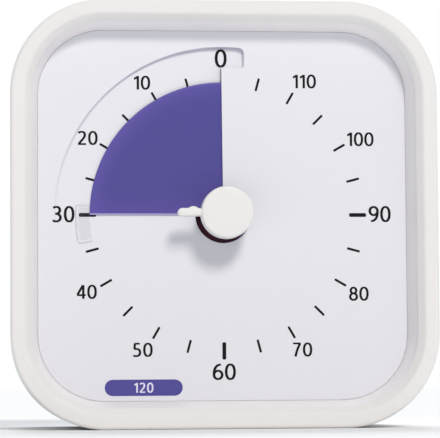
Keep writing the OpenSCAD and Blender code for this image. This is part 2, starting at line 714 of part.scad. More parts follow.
// Two leaves that the cam's flat lets close at zero
module zero_contacts() color([0.8, 0.66, 0.35]) upright() for (y = [0, 1])
    translate([-2.5, contact_y - 0.15 - y, board_z + 0.4]) cube([7.5, 0.15, 1]);

// ---- Back cover's parts ----

module speaker_frame() color([0.2, 0.2, 0.21]) upright() translate([speaker_at[0], speaker_at[1], cover_z])
    difference() {
        union() {
            cylinder(r = speaker_r, h = frame_t);
            cylinder(r = speaker_r - 3, h = 3.2);
        }
        translate([0, 0, -1]) cylinder(r = cone_r, h = 3);
        translate([0, 0, -1]) cylinder(r = speaker_r * 0.5, h = 6);
    }

module speaker_cone() color([0.35, 0.32, 0.3]) upright()
    translate([speaker_at[0], speaker_at[1], cover_z + 0.6]) rotate_extrude()
        polygon([[0, 0.9], [3, 0.9], [cone_r, 0.2], [cone_r, 0], [2.9, 0.7], [0, 0.7]]);

module speaker_magnet() color([0.5, 0.5, 0.52]) upright() translate([speaker_at[0], speaker_at[1], magnet_z])
    cylinder(r = speaker_r * 0.5, h = speaker_magnet_t);

module speaker_clamp() color([0.7, 0.7, 0.72]) upright() difference() {
    union() {
        translate([speaker_at[0], speaker_at[1], flange_z]) cylinder(r = speaker_r, h = clamp_t);
        ears(flange_z) {
            translate([-ear_reach - 1, -ear_r, 0]) cube([ear_reach + 1, 2 * ear_r, clamp_t]);
            cylinder(r = ear_r, h = clamp_t);
        }
    }
    translate([speaker_at[0], speaker_at[1], cover_z]) cylinder(r = speaker_r - 2.6, h = 5);
    ears(flange_z + 2) screw_hole(small_screw, 4);
}

module speaker_screws() color([0.55, 0.55, 0.57]) upright()
    ears(flange_z + clamp_t) screw(small_screw, 3.4);

module sound_board() color([0.1, 0.36, 0.22]) upright() difference() {
    translate([switch_at[0], switch_at[1], 0])
        slab([small_board[0], small_board[1]], 1, small_board_z, small_board[2]);
    board_ends(small_board_z + small_board[2] + 1) screw_hole(small_screw, small_board[2] + 2);
}

module board_screws() color([0.55, 0.55, 0.57]) upright()
    board_ends(small_board_z + small_board[2]) screw(small_screw, small_board[2] + 3.4);

module switch_body() color([0.7, 0.71, 0.73]) upright()
    translate([switch_at[0], switch_at[1], small_board_z - switch_t]) difference() {
        linear_extrude(switch_t) square(2 * switch_half, center = true);
        translate([0, 0, -1]) linear_extrude(2.2)
            square(slider_slot, center = true);
    }

module sound_slider() color([0.15, 0.15, 0.16]) upright()
    translate([switch_at[0] - switch_travel / 2, switch_at[1], back_z + 0.2])
        linear_extrude(cover_t + plug_t + 0.8) square(2 * knob_half, center = true);

// Contact plate against an end wall of the bay, its tail out through the bay's floor
module contact_plate(x) translate([x, cell_at[1], cell_mid]) {
    translate([0, -plate_w / 2, -plate_w / 2]) cube([contact_t, plate_w, plate_w]);
    translate([0, -tail_w / 2, plate_w / 2 - tiny])
        cube([contact_t, tail_w, tail_z - cell_mid - plate_w / 2 + tiny]);
}

module positive_contact() color([0.78, 0.78, 0.75]) upright() contact_plate(contact_x[1]);

module negative_spring() color([0.78, 0.78, 0.75]) upright() {
    turns = 3;
    sides = 8;
    thread = 0.35;
    n = 20 * turns;
    length = spring_room - contact_t - 2 * thread - 0.3;
    contact_plate(contact_x[0]);
    translate([contact_x[0], cell_at[1], cell_mid]) skin([for (i = [0:n]) let (
        a = 360 * turns * i / n,
        r = plate_w / 2 - 2.4 * i / n,
        x = contact_t + thread - 0.05 + length * i / n)
        [for (j = [0:sides - 1]) let (b = 360 * j / sides)
            [x + thread * sin(b), (r + thread * cos(b)) * cos(a), (r + thread * cos(b)) * sin(a)]]]);
}

module battery_cell() color([0.75, 0.6, 0.35]) upright()
    translate([cell_x, cell_at[1], cell_mid]) rotate([0, 90, 0]) {
        nub = 1.3;
        cylinder(r = cell_r, h = cell_l - nub);
        cylinder(r = 2.7, h = cell_l);
    }

module battery_door() color([0.9, 0.89, 0.92]) upright() difference() {
    translate([0, 0, back_z]) linear_extrude(door_t) door_outline(0);
    translate([door_post[0], door_post[1], back_z - 1]) cylinder(r = thin_screw[1] + 0.3, h = 1 + door_t / 2);
    translate([door_post[0], door_post[1], cover_z]) screw_hole(thin_screw, cover_t + 1);
    // Thumb grip
    for (i = [0:3]) translate([4 + 1.6 * i - door_half[0], cell_at[1] - 5, back_z - 1]) cube([0.8, 10, 1.4]);
}

module door_screw() color([0.55, 0.55, 0.57]) upright()
    translate([door_post[0], door_post[1], back_z + door_t / 2]) mirror([0, 0, 1]) screw(thin_screw, 6);

// Leaves one point square to its surface, runs straight and meets the other point square
module lead(from, rise, to, drop) wire([from, from + [0, 0, rise], to + [0, 0, drop], to]);

module battery_wires() color([0.7, 0.1, 0.1]) upright() {
    solder = (tail_z + bay_top) / 2;
    for (end = [[contact_x[0] + contact_t + wire_r, 2], [contact_x[1] - wire_r, 3]]) let (to = outlet(end[1], 0))
        lead([end[0], cell_at[1], solder], run_z - solder, to, run_z - to[2]);
}

module speaker_wires() color([0.1, 0.1, 0.1]) upright() for (y = [-1, 1])
    lead([switch_at[0] + small_board[0] / 2 - 1.5, switch_at[1] + 4 * y, small_board_z + small_board[2]], 4,
        [speaker_at[0], speaker_at[1] + 2 * y, magnet_z + speaker_magnet_t], 4);

module signal_wires() color([0.85, 0.75, 0.2]) upright() for (i = [0, 1]) let (
    from = [switch_at[0] - 5 + 3 * i, switch_at[1] - 5, small_board_z + small_board[2]],
    to = outlet(i, 2))
    lead(from, (run_z - from[2]) / 2, to, run_z - 2 * wire_r - to[2]);

silicone_sleeve();
front_housing();
dial_plate();
back_cover();
case_screws();
time_disc();
disc_tab();
disc_hub();
knob();
spindle();
clutch_spring();
retaining_ring();
zero_cam();
chassis_plate();
chassis_screws();
bushing_nut();
rubber_washer();
movement_front();
movement_back();
output_wheel();
third_wheel();
second_wheel();
rotor_pinion();
rotor_magnet();
stator();
coil_core();
coil_bobbin();
coil_winding();
circuit_board();
control_chip();
quartz_crystal();
contact_block();
zero_contacts();
speaker_frame();
speaker_cone();
speaker_magnet();
speaker_clamp();
speaker_screws();
sound_board();
board_screws();
switch_body();
sound_slider();
positive_contact();
negative_spring();
battery_cell();
battery_door();
door_screw();
battery_wires();
speaker_wires();
signal_wires();
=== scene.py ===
import json
import math
import bpy
import bmesh
import numpy as np
from mathutils import Matrix, Vector


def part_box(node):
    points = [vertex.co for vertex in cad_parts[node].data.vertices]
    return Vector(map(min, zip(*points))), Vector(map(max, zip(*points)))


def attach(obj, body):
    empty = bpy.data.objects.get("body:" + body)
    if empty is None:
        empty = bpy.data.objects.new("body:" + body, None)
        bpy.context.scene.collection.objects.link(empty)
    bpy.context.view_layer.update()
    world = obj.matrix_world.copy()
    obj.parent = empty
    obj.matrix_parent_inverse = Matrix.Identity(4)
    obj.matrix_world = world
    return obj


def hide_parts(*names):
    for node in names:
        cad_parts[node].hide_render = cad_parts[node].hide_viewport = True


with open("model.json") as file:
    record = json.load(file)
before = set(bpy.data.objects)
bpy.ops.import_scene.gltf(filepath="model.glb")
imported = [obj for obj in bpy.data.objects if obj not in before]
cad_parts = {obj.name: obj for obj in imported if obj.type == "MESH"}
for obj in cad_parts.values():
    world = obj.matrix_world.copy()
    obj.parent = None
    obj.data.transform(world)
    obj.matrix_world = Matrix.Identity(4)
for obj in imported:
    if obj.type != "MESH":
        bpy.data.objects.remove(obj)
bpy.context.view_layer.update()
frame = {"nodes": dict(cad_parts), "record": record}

print("frame loaded:", len(frame["nodes"]), "nodes")

# Sizes are millimetres in the dial's own frame: x right, y up, z out of the dial, 0 on its face.
mm = 0.001
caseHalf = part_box("silicone_sleeve")[1].x / mm
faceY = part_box("dial_plate")[0].y
record = frame["record"]
nodeBody = {node: body for body, nodes in record["behaviour"]["bodies"].items() for node in nodes}
nodeSlot = {part["node"]: part["material_slot"] for part in record["subparts"]}


# Dial frame to row frame, in metres: (x, face - z, half + y)
def toRow(p):
    return np.stack([p[..., 0] * mm, faceY - p[..., 2] * mm, (caseHalf + p[..., 1]) * mm], axis=-1)


# Point of the dial at a turn counted counter-clockwise from the top: (-r sin a, r cos a, z)
def atTurn(r, degrees, z=0.0):
    a = np.radians(degrees)
    return np.stack(np.broadcast_arrays(-r * np.sin(a), r * np.cos(a), z), axis=-1)


# Quads between neighbouring points of a rows x columns grid; a wrapped direction closes on itself
def gridFaces(rows, columns, wrapRows=False, wrapColumns=False):
    i, j = np.meshgrid(np.arange(rows if wrapRows else rows - 1),
                       np.arange(columns if wrapColumns else columns - 1), indexing="ij")
    i2, j2 = (i + 1) % rows, (j + 1) % columns
    corners = [i * columns + j, i * columns + j2, i2 * columns + j2, i2 * columns + j]
    return np.stack(corners, axis=-1).reshape(-1, 4)


# A piece from points and faces. Doubles merge, normals turn outwards, edges over the angle stay sharp.
def makePiece(name, points, faces, uv=None, angle=40, outward=True, merge=1e-7):
    mesh = bpy.data.meshes.new(name)
    places = toRow(np.asarray(points, dtype=float).reshape(-1, 3))
    mesh.from_pydata(places.tolist(), [], [list(map(int, f)) for f in faces])
    if uv is not None:
        loops = np.empty(len(mesh.loops), dtype=np.int32)
        mesh.loops.foreach_get("vertex_index", loops)
        perLoop = np.asarray(uv, dtype=np.float32)[loops].ravel()
        mesh.uv_layers.new(name="UVMap").data.foreach_set("uv", perLoop)
    tidy = bmesh.new()
    tidy.from_mesh(mesh)
    bmesh.ops.remove_doubles(tidy, verts=tidy.verts, dist=merge)
    bmesh.ops.dissolve_degenerate(tidy, edges=tidy.edges, dist=merge)
    if outward:
        bmesh.ops.recalc_face_normals(tidy, faces=tidy.faces)
    tidy.to_mesh(mesh)
    tidy.free()
    smoothUp(mesh, angle)
    return added(name, mesh)


# A new object in the scene
def added(name, data):
    thing = bpy.data.objects.new(name, data)
    bpy.context.scene.collection.objects.link(thing)
    return thing


# Smooth shading with sharp edges over an angle
def smoothUp(mesh, angle):
    mesh.polygons.foreach_set("use_smooth", np.ones(len(mesh.polygons), dtype=bool))
    mesh.set_sharp_from_angle(angle=math.radians(angle))
    mesh.update()


# Joins lists of (points, faces) into one
def joined(parts):
    points, faces, start = [], [], 0
    for p, f in parts:
        p = p.reshape(-1, 3)
        points.append(p)
        faces += [[int(k) + start for k in face] for face in f]
        start += len(p)
    return np.concatenate(points), faces


# Polygon with its corners turned into arcs: the centre lies on the bisector, the arc is a slerp of its ends
def roundCorners(corners, radii, steps, closed=True):
    p = np.asarray(corners, dtype=float)
    r = np.broadcast_to(np.asarray(radii, dtype=float), len(p)).copy()
    before, after = np.roll(p, 1, axis=0) - p, np.roll(p, -1, axis=0) - p
    back, ahead = [v / np.linalg.norm(v, axis=1, keepdims=True) for v in (before, after)]
    half = np.arccos(np.clip((back * ahead).sum(1), -1, 1)) / 2
    nearlyStraight = math.radians(89.5)
    r[half > nearlyStraight] = 0
    cut = r / np.tan(np.maximum(half, 1e-3))
    room = np.minimum(np.linalg.norm(before, axis=1), np.linalg.norm(after, axis=1)) * 0.5
    cut = np.minimum(cut, room)
    r = cut * np.tan(half)
    bisector = back + ahead
    bisector /= np.maximum(np.linalg.norm(bisector, axis=1, keepdims=True), 1e-9)
    centre = p + bisector * (r / np.maximum(np.sin(half), 1e-6))[:, None]
    spokeA, spokeB = p + back * cut[:, None] - centre, p + ahead * cut[:, None] - centre
    swing = np.pi - 2 * half
    t = np.linspace(0, 1, steps + 1)[None, :, None]
    safe = np.maximum(np.sin(swing), 1e-6)[:, None, None]
    s = swing[:, None, None]
    fromA, fromB = np.sin((1 - t) * s) * spokeA[:, None], np.sin(t * s) * spokeB[:, None]
    arcs = centre[:, None] + (fromA + fromB) / safe
    plain = (r < 1e-6) | (swing < 1e-3)
    arcs[plain] = p[plain][:, None]
    if not closed:
        arcs[0], arcs[-1] = p[0], p[-1]
    out = arcs.reshape(-1, 2)
    keep = np.ones(len(out), dtype=bool)
    keep[1:] = np.linalg.norm(np.diff(out, axis=0), axis=1) > 1e-5
    return out[keep]


# Round a square: at each step, the centre of curvature K and the outward normal n
def squareTrack(half, radius, cornerSteps, sideSteps):
    inner = half - radius
    centres, normals = [], []
    for quarter in range(4):
        turn = quarter * np.pi / 2
        swing = np.linspace(0, np.pi / 2, cornerSteps + 1)
        corner = np.array([inner, inner])
        rot = np.array([[math.cos(turn), -math.sin(turn)], [math.sin(turn), math.cos(turn)]])
        arc = np.stack([np.cos(swing), np.sin(swing)], axis=1)
        slide = np.linspace(0, 1, sideSteps + 1)[1:-1, None]
        side = corner * (1 - slide) + np.array([-inner, inner]) * slide
        centres.append(np.concatenate([np.repeat(corner[None], cornerSteps + 1, axis=0), side]) @ rot.T)
        normals.append(np.concatenate([arc, np.repeat([[0.0, 1.0]], sideSteps - 1, axis=0)]) @ rot.T)
    return np.concatenate(centres), np.concatenate(normals)


# Closed profile (depth in from the outside, z) carried round a square: K + (R - depth) n
def roundSquare(profile, half, radius, cornerSteps=32, sideSteps=10):
    centre, normal = squareTrack(half, radius, cornerSteps, sideSteps)
    flat = centre[:, None] + (radius - profile[None, :, :1]) * normal[:, None]
    z = np.broadcast_to(profile[None, :, 1:], flat.shape[:2] + (1,))
    points = np.concatenate([flat, z], axis=-1)
    return points, gridFaces(*points.shape[:2], wrapRows=True, wrapColumns=True)


# Profile (r, z) that starts and ends on the axis, turned about it: (r cos t, r sin t, z)
def turned(profile, sides=128):
    t = np.linspace(0, 2 * np.pi, sides, endpoint=False)[:, None]
    r, z = profile[None, :, 0], profile[None, :, 1]
    points = np.stack([r * np.cos(t), r * np.sin(t), z + 0 * t], axis=-1)
    return points, gridFaces(sides, len(profile), wrapRows=True)


# Cubic Bezier chain through points 0, 3, 6 ...: (1-t)^3 a + 3 (1-t)^2 t b + 3 (1-t) t^2 c + t^3 d
def bezier(controls, steps=14):
    p = np.asarray(controls, dtype=float)
    a, b, c, d = p[:-1:3, None], p[1::3, None], p[2::3, None], p[3::3, None]
    t = np.linspace(0, 1, steps, endpoint=False)[None, :, None]
    curve = (1 - t) ** 3 * a + 3 * (1 - t) ** 2 * t * b + 3 * (1 - t) * t ** 2 * c + t ** 3 * d
    return np.concatenate([curve.reshape(-1, p.shape[1]), p[-1:]])


class Signal:
    # A node's output that takes part in arithmetic
    def __init__(self, recipe, socket):
        self.recipe, self.socket = recipe, socket

    def maths(self, operation, other):
        return self.recipe.add("Math", {"operation": operation}, {0: self, 1: other})

    def __add__(self, other):
        return self.maths("ADD", other)

    def __mul__(self, other):
        return self.maths("MULTIPLY", other)

    def __lt__(self, other):
        return self.maths("LESS_THAN", other)

    def __gt__(self, other):
        return self.maths("GREATER_THAN", other)

    __radd__, __rmul__ = __add__, __mul__


class Nodes:
    # A node tree of a material or the world, to which one method adds every node
    def __init__(self, tree):
        self.tree = tree

    def add(self, kind, settings=None, sockets=None, output=0):
        node = self.tree.nodes.new("ShaderNode" + kind)
        for key, value in (settings or {}).items():
            setattr(node, key, value)
        for key, value in (sockets or {}).items():
            self.feed(node.inputs[key], value)
        return Signal(self, node.outputs[output])

    def feed(self, socket, value):
        if isinstance(value, Signal):
            self.tree.links.new(value.socket, socket)
        elif socket.type == "RGBA":
            socket.default_value = (*value, 1)
        else:
            socket.default_value = value

    # 1 for a ray that shows what it meets, straight, mirrored or through something clear, and 0 for others
    def seen(self):
        path = self.add("LightPath").socket.node.outputs
        kinds = ("Is Camera Ray", "Is Glossy Ray", "Is Transmission Ray")
        camera, glossy, through = [Signal(self, path[kind]) for kind in kinds]
        return (camera + glossy + through).maths("MINIMUM", 1.0)


class Recipe(Nodes):
    # One material's node tree, with its Principled shader
    def __init__(self, name, **sockets):
        self.material = bpy.data.materials.new(name)
        self.material.use_nodes = True
        super().__init__(self.material.node_tree)
        self.shader = self.tree.nodes["Principled BSDF"]
        self.place = self.add("TexCoord", output="Object")
        self.finish(**sockets)

    def finish(self, **sockets):
        for key, value in sockets.items():
            self.feed(self.shader.inputs[key.replace("_", " ")], value)

    def noise(self, scale, detail=2, at=None):
        return self.add("TexNoise", None, {"Vector": at or self.place, "Scale": scale, "Detail": detail})

    def blend(self, factor, low, high):
        return self.add("Mix", {"data_type": "RGBA"}, {0: factor, 6: low, 7: high}, output=2)

    def ramp(self, value, low, high, toLow=0.0, toHigh=1.0):
        return self.add("MapRange", None, {"Value": value, "From Min": low, "From Max": high,
                                           "To Min": toLow, "To Max": toHigh})

    def axes(self, vector=None):
        split = self.add("SeparateXYZ", None, {0: vector or self.place})
        return [Signal(self, output) for output in split.socket.node.outputs]

    def bump(self, height, distance):
        self.finish(Normal=self.add("Bump", None, {"Height": height, "Distance": distance}))


# Moulded plastic. Colour drifts by a slow noise, and fine grain lifts the surface.
# Roughness is its value - spread / 2 + spread (0.6 fine + 0.4 slow).
def moulded(name, colour, roughness=0.4, grain=2600, depth=0.01, drift=0.03, **sockets):
    m = Recipe(name, **sockets)
    slow, fine = m.noise(38, 3), m.noise(grain)
    spread = 0.08
    darker = [c * (1 - drift) for c in colour]
    lighter = [min(1, c * (1 + drift * 0.6)) for c in colour]
    m.finish(Base_Color=m.blend(slow, darker, lighter),
             Roughness=roughness - spread / 2 + spread * (fine * 0.6 + slow * 0.4))
    m.bump(fine, depth * mm)
    return m.material


# Metal. Noise squeezed along z draws fine scratches across it, and a slower noise dulls it in patches.
# Roughness is its value - 0.06 + 0.14 scratches + 0.08 patches.
def metal(name, colour, roughness, tarnish=0.12):
    m = Recipe(name, Metallic=1.0)
    squeezed = m.add("Mapping", None, {"Vector": m.place, "Scale": (1, 1, 14)})
    scratches, patches = m.noise(900, 3, at=squeezed), m.noise(240, 4)
    dull = [c * (1 - tarnish) for c in colour]
    m.finish(Base_Color=m.blend(patches, dull, colour),
             Roughness=roughness - 0.06 + 0.14 * scratches + 0.08 * patches)
    m.bump(scratches, 0.006 * mm)
    return m.material


print("building materials")


# Silicone: slow drift of tone, dust-fine grain, and faint specks of lint where a noise passes 0.72 to 0.78.
# Height is fine + 0.5 slow.
def siliconeSkin():
    m = Recipe("soft silicone", Sheen_Weight=0.04, Sheen_Roughness=0.4, Specular_IOR_Level=0.3)
    slow, fine, lint = m.noise(30, 4), m.noise(3400), m.noise(1500, 1)
    specks = m.ramp(lint, 0.72, 0.78)
    tone = m.blend(slow, (0.785, 0.762, 0.752), (0.815, 0.795, 0.785))
    m.finish(Base_Color=m.blend(specks * 0.35, tone, (0.88, 0.86, 0.85)), Roughness=0.56 + 0.12 * fine)
    m.bump(fine + 0.5 * slow, 0.012 * mm)
    return m.material


# Dial face: satin print coat, cooler than the sleeve, with the faint waviness of a moulded sheet. UV's
# first value is the share of a recess wall, where painted shade blends the tone by 0.75 wall to dark violet.
def dialCoat():
    m = Recipe("dial face", Specular_IOR_Level=0.3)
    slow, wave, fine = m.noise(24), m.noise(110), m.noise(4200)
    wall, _, _ = m.axes(m.add("TexCoord", output="UV"))
    tone = m.blend(slow, (0.745, 0.740, 0.788), (0.768, 0.763, 0.812))
    # painted shade: the recess walls are blended towards dark violet, darkest half way down
    m.finish(Base_Color=m.blend(wall * 0.75, tone, (0.33, 0.30, 0.46)), Roughness=0.42 + 0.1 * fine)
    m.bump(fine * 0.5 + wave, 0.008 * mm)
    return m.material


# Millimetres of radius and of distance behind the leading edge, for the film's painted light and its edge
# strip
filmPrintAndPaintedLight = {"paintedLightFrom": 24.5, "paintedLightTo": 27.8, "paintedLightBehind": 5.0, "clearEdgeAndHighlightStrip": 0.3, "clearEdgeAndHighlightFrom": 9.2}


# Disc film: UV is (distance behind the leading edge, radius). Outside the radius given in the table, a strip
# along the leading edge is painted pale lavender, for the film's clear unprinted border and a painted
# highlight on it, and painted light makes the purple a little lighter towards the rim and the leading edge.
def filmCoat(p):
    m = Recipe("purple film", Specular_IOR_Level=0.25)
    behind, radius, _ = m.axes(m.add("TexCoord", output="UV"))
    slow, fine = m.noise(45, 3), m.noise(3000)
    purple = m.blend(slow, (0.066, 0.055, 0.262), (0.075, 0.063, 0.288))
    # painted light: the purple is lighter towards the rim and towards the leading edge
    purple = m.blend(m.ramp(radius, p["paintedLightFrom"], p["paintedLightTo"]) * 0.4, purple, (0.13, 0.10, 0.42))
    purple = m.blend(m.ramp(behind, p["paintedLightBehind"], 0.0) * 0.35, purple, (0.115, 0.075, 0.37))
    # pale edge strip: the film's clear unprinted border, with a painted highlight on it
    bare = (behind < p["clearEdgeAndHighlightStrip"]) * (radius > p["clearEdgeAndHighlightFrom"])
    m.finish(Base_Color=m.blend(bare, purple, (0.36, 0.31, 0.58)), Roughness=0.38 + 0.1 * fine)
    m.bump(fine, 0.005 * mm)
    return m.material


# Millimetres from the edge over which the grey of the cut and the painted highlight line fade
clearBands = {"cut": (0.1, 0.24), "line": (0.55, 0.66)}


# Clear film: UV's first value is the distance to the nearest free edge. The cut edge is grey, a painted
# highlight runs as a bright line just inside it, and the rest is nearly clear.
def clearFilm(bands):
    m = Recipe("clear film", Specular_IOR_Level=0.3)
    edge, _, _ = m.axes(m.add("TexCoord", output="UV"))
    haze = m.noise(900, 3)
    cut, line = [m.ramp(edge, *bands[name], 1.0, 0.0) for name in ("cut", "line")]
    # painted highlight: near white, and a little more opaque, in a band just inside the cut edge
    tone = m.blend(line, (0.18, 0.18, 0.22), (0.97, 0.97, 0.98))
    m.finish(Base_Color=m.blend(cut, tone, (0.40, 0.39, 0.43)), Roughness=0.14 + 0.1 * haze,
             Alpha=0.03 + 0.02 * haze + 0.1 * line + 0.08 * cut)
    return m.material


# Ink: a matt film with a faintly uneven coat
def ink(name, colour, shine=0.08):
    return moulded(name, colour, 0.55, grain=5200, depth=0.003, drift=0.08, Specular_IOR_Level=shine)


# Printed circuit: tracks from a brick grid over the mask's green, raised a little
def circuitCoat():
    m = Recipe("solder mask", Coat_Weight=0.25, Coat_Roughness=0.12)
    x, _, z = m.axes()
    lane = m.add("TexBrick", {"offset": 0.37}, {
        "Vector": m.add("CombineXYZ", None, {0: x, 1: z}), "Scale": 260, "Mortar Size": 0.03,
        "Brick Width": 0.9, "Row Height": 0.32, "Mortar Smooth": 0.1}, output="Fac")
    slow = m.noise(120)
    mask = m.blend(slow, (0.012, 0.085, 0.034), (0.018, 0.12, 0.05))
    m.finish(Base_Color=m.blend(lane, mask, (0.05, 0.24, 0.10)), Roughness=0.3 + 0.1 * slow)
    m.bump(lane, 0.03 * mm)
    return m.material


# Enamelled wire: fine rings across the coil's axis, a sine of x
def windingCoat():
    m = Recipe("enamelled copper", Metallic=0.85, Coat_Weight=0.4, Coat_Roughness=0.15)
    rings = m.add("TexWave", None, {"Vector": m.place, "Scale": 1500, "Distortion": 0.25, "Detail": 1.0})
    m.finish(Base_Color=m.blend(rings, (0.26, 0.085, 0.03), (0.62, 0.26, 0.10)),
             Roughness=0.3 + 0.12 * m.noise(500))
    m.bump(rings, 0.04 * mm)
    return m.material


# Battery wrap, by the share of the cell's length along x: a dark sleeve, a copper-coloured band at the
# positive end, and bare steel at both ends
def wrapCoat():
    m = Recipe("battery wrap", Coat_Weight=0.3, Coat_Roughness=0.1)
    low, high = [p.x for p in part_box("battery_cell")]
    x, _, _ = m.axes()
    share = m.ramp(x, low, high)
    bandFrom, capFrom, baseTo = 0.7, 0.968, 0.006
    slow, fine = m.noise(60), m.noise(2200)
    dark = m.blend(slow, (0.012, 0.013, 0.016), (0.03, 0.032, 0.038))
    wrap = m.blend(share > bandFrom, dark, (0.50, 0.24, 0.08))
    bare = (share > capFrom).maths("MAXIMUM", share < baseTo)
    m.finish(Base_Color=m.blend(bare, wrap, (0.62, 0.62, 0.64)),
             Metallic=0.35 * (share > bandFrom) + bare * 0.65, Roughness=0.28 + 0.08 * fine)
    m.bump(fine, 0.004 * mm)
    return m.material


coats = {
    "silicone": siliconeSkin(),
    "white_plastic": moulded("housing plastic", (0.885, 0.858, 0.87), 0.44, depth=0.012,
                             Specular_IOR_Level=0.35),
    "knob_plastic": moulded("knob plastic", (0.80, 0.788, 0.776), 0.38, depth=0.006, drift=0.015,
                            Specular_IOR_Level=0.35),
    "disc_film": filmCoat(filmPrintAndPaintedLight),
    "clear_film": clearFilm(clearBands),
    "plum_plastic": moulded("hub plastic", (0.085, 0.012, 0.034), 0.42, drift=0.15,
                             Specular_IOR_Level=0.2),
    "black_plastic": moulded("black plastic", (0.012, 0.012, 0.013), 0.46, drift=0.25),
    "gear_plastic": moulded("gear plastic", (0.80, 0.76, 0.62), 0.4, drift=0.04),
    "plate_plastic": moulded("plate plastic", (0.58, 0.58, 0.61), 0.48, drift=0.05),
    "steel": metal("zinc-plated steel", (0.58, 0.58, 0.60), 0.3),
    "spring_steel": metal("nickel-plated spring", (0.66, 0.65, 0.62), 0.24),
    "brass": metal("brass", (0.66, 0.47, 0.19), 0.27),
    "rubber": moulded("black rubber", (0.016, 0.016, 0.016), 0.75, grain=1500, depth=0.03, drift=0.2),
    "iron": metal("laminated iron", (0.33, 0.33, 0.35), 0.42, tarnish=0.2),
    "magnet": moulded("sintered magnet", (0.052, 0.052, 0.056), 0.5, grain=3000, depth=0.02, Metallic=0.5),
    "copper": windingCoat(),
    "green_board": circuitCoat(),
    "cone_film": moulded("cone film", (0.085, 0.07, 0.062), 0.55, depth=0.02, drift=0.15),
    "cell_wrap": wrapCoat(),
    "red_wire": moulded("red wire", (0.42, 0.012, 0.01), 0.36, drift=0.1),
    "black_wire": moulded("black wire", (0.012, 0.012, 0.012), 0.36, drift=0.2),
    "yellow_wire": moulded("yellow wire", (0.62, 0.40, 0.02), 0.36, drift=0.1),
    "dial": dialCoat(),
    "ink": ink("black ink", (0.0085, 0.0075, 0.0095)),
    "purple ink": ink("purple ink", (0.083, 0.070, 0.30), shine=0.2),
    "pale ink": ink("pale ink", (0.74, 0.72, 0.86), shine=0.2),
}


# Every piece gets its coat, its slot's unless another is named, and its body, and stands for its CAD nodes
def fit(piece, body, slot, coat=None, replaces=()):
    piece.data.materials.clear()
    piece.data.materials.append(coats[coat or slot])
    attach(piece, body)
    if replaces:
        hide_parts(*replaces)


print("sleeve")
sleeveShape = {"cornerRadius": 19.6, "front": 6.2, "back": -48.3, "edge": 0.7, "edgeRound": 0.8,
               "lipFlat": 2.3, "rimRound": 1.0, "slopeWidth": 1.45, "slopeDrop": 1.5, "slopeRound": 0.22,
               "lip": 1.7, "lipRound": 0.12, "wall": 2.4, "innerRound": 0.3, "backRound": 0.5,
               "seamAt": -21, "seamDepth": 0.05, "seamWidth": 0.5, "seamRound": 0.05, "draft": 1.2}


# Profile (depth, z): outside with its raised mould seam, round front edge, flat rim, slope, lip and inside.
# Behind the front edge the outside narrows evenly, x by its share of the half and y about the base below.
def makeSleeve(s):
    rimAt = s["edge"] + s["lipFlat"]
    lipAt = rimAt + s["slopeWidth"]
    lipBack = s["front"] - s["lip"]
    seam = [(depth, s["seamAt"] + part * s["seamWidth"], s["seamRound"])
            for depth, part in ((s["seamDepth"], -0.5), (0, -0.25), (0, 0.25), (s["seamDepth"], 0.5))]
    corners = np.array([(s["seamDepth"], s["back"], s["backRound"]), *seam,
                        (s["seamDepth"], s["front"], s["edgeRound"]), (rimAt, s["front"], s["rimRound"]),
                        (lipAt, s["front"] - s["slopeDrop"], s["slopeRound"]),
                        (lipAt, lipBack, s["lipRound"]), (s["wall"], lipBack, s["innerRound"]),
                        (s["wall"], s["back"], s["backRound"])])
    profile = roundCorners(corners[:, :2], corners[:, 2], steps=7)
    points, faces = roundSquare(profile, caseHalf, s["cornerRadius"])
    far = np.clip((s["front"] - s["edge"] - profile[:, 1]) / (s["front"] - s["edge"] - s["back"]), 0, 1)
    share = far * np.clip(1 - profile[:, 0] / s["wall"], 0, 1) * s["draft"] / caseHalf
    points[..., 0] *= 1 - share
    points[..., 1] -= share * (points[..., 1] + caseHalf) / 2
    return makePiece("sleeve_shell", points, faces, angle=50)


fit(makeSleeve(sleeveShape), "sleeve", "silicone", replaces=["silicone_sleeve"])


print("dial plate")
dialShape = {"half": 38.69, "cornerRadius": 13.79, "thickness": 1.5, "hole": 5.86, "holeRound": 0.12,
             "edgeRound": 0.12, "slotTurn": 0.4, "slotRadius": 31.0, "rampRadius": 35.42, "rampDepth": 1.1,
             "rampTurn": 100, "pocketTurn": 8, "pocketRound": 1.1, "wall": 0.6, "innerWall": 0.3,
             "skin": 0.3, "reliefTurn": 206}


# How far the face lies under zero at a radius and turn. Depth falls evenly with the turn along the ramp.
# The ramp's outer wall and the round-cornered pocket are eased by 3 s^2 - 2 s^3, s being the distance inside
# the outline over the wall's width, which shrinks to its innerWall share at the slot's radius. The second
# value, the mask for the coat's painted shade on the recess walls, is 1 half way down a full-depth outer
# wall and falls to 0 on the inner side.
def dialDepth(r, turn, d):
    along = np.radians(turn) * r
    middle = (d["slotRadius"] + d["rampRadius"]) / 2
    halfBand = (d["rampRadius"] - d["slotRadius"]) / 2
    pocketFrom = -np.radians(d["pocketTurn"]) * middle
    corner = d["pocketRound"]
    qx = np.maximum(pocketFrom + corner - along, 0)
    qy = np.maximum(np.abs(r - middle) - halfBand + corner, 0)
    pocketGap = np.hypot(qx, qy) - corner
    onRamp = turn >= d["slotTurn"]
    gap = np.where(onRamp, r - d["rampRadius"], pocketGap)
    pastPocket = turn < -1.5 * d["pocketTurn"]
    gap = np.where(pastPocket, 1.0, gap)
    outer = np.clip((r - d["slotRadius"]) / (2 * halfBand), 0, 1)
    share = np.clip(-gap / (d["wall"] * (d["innerWall"] + (1 - d["innerWall"]) * outer)), 0, 1)
    ease = share * share * (3 - 2 * share)
    fall = np.where(onRamp, 1 - np.clip(turn, 0, d["rampTurn"]) / d["rampTurn"], 1.0)
    return d["rampDepth"] * fall * ease, 4 * fall * share * (1 - share) * outer


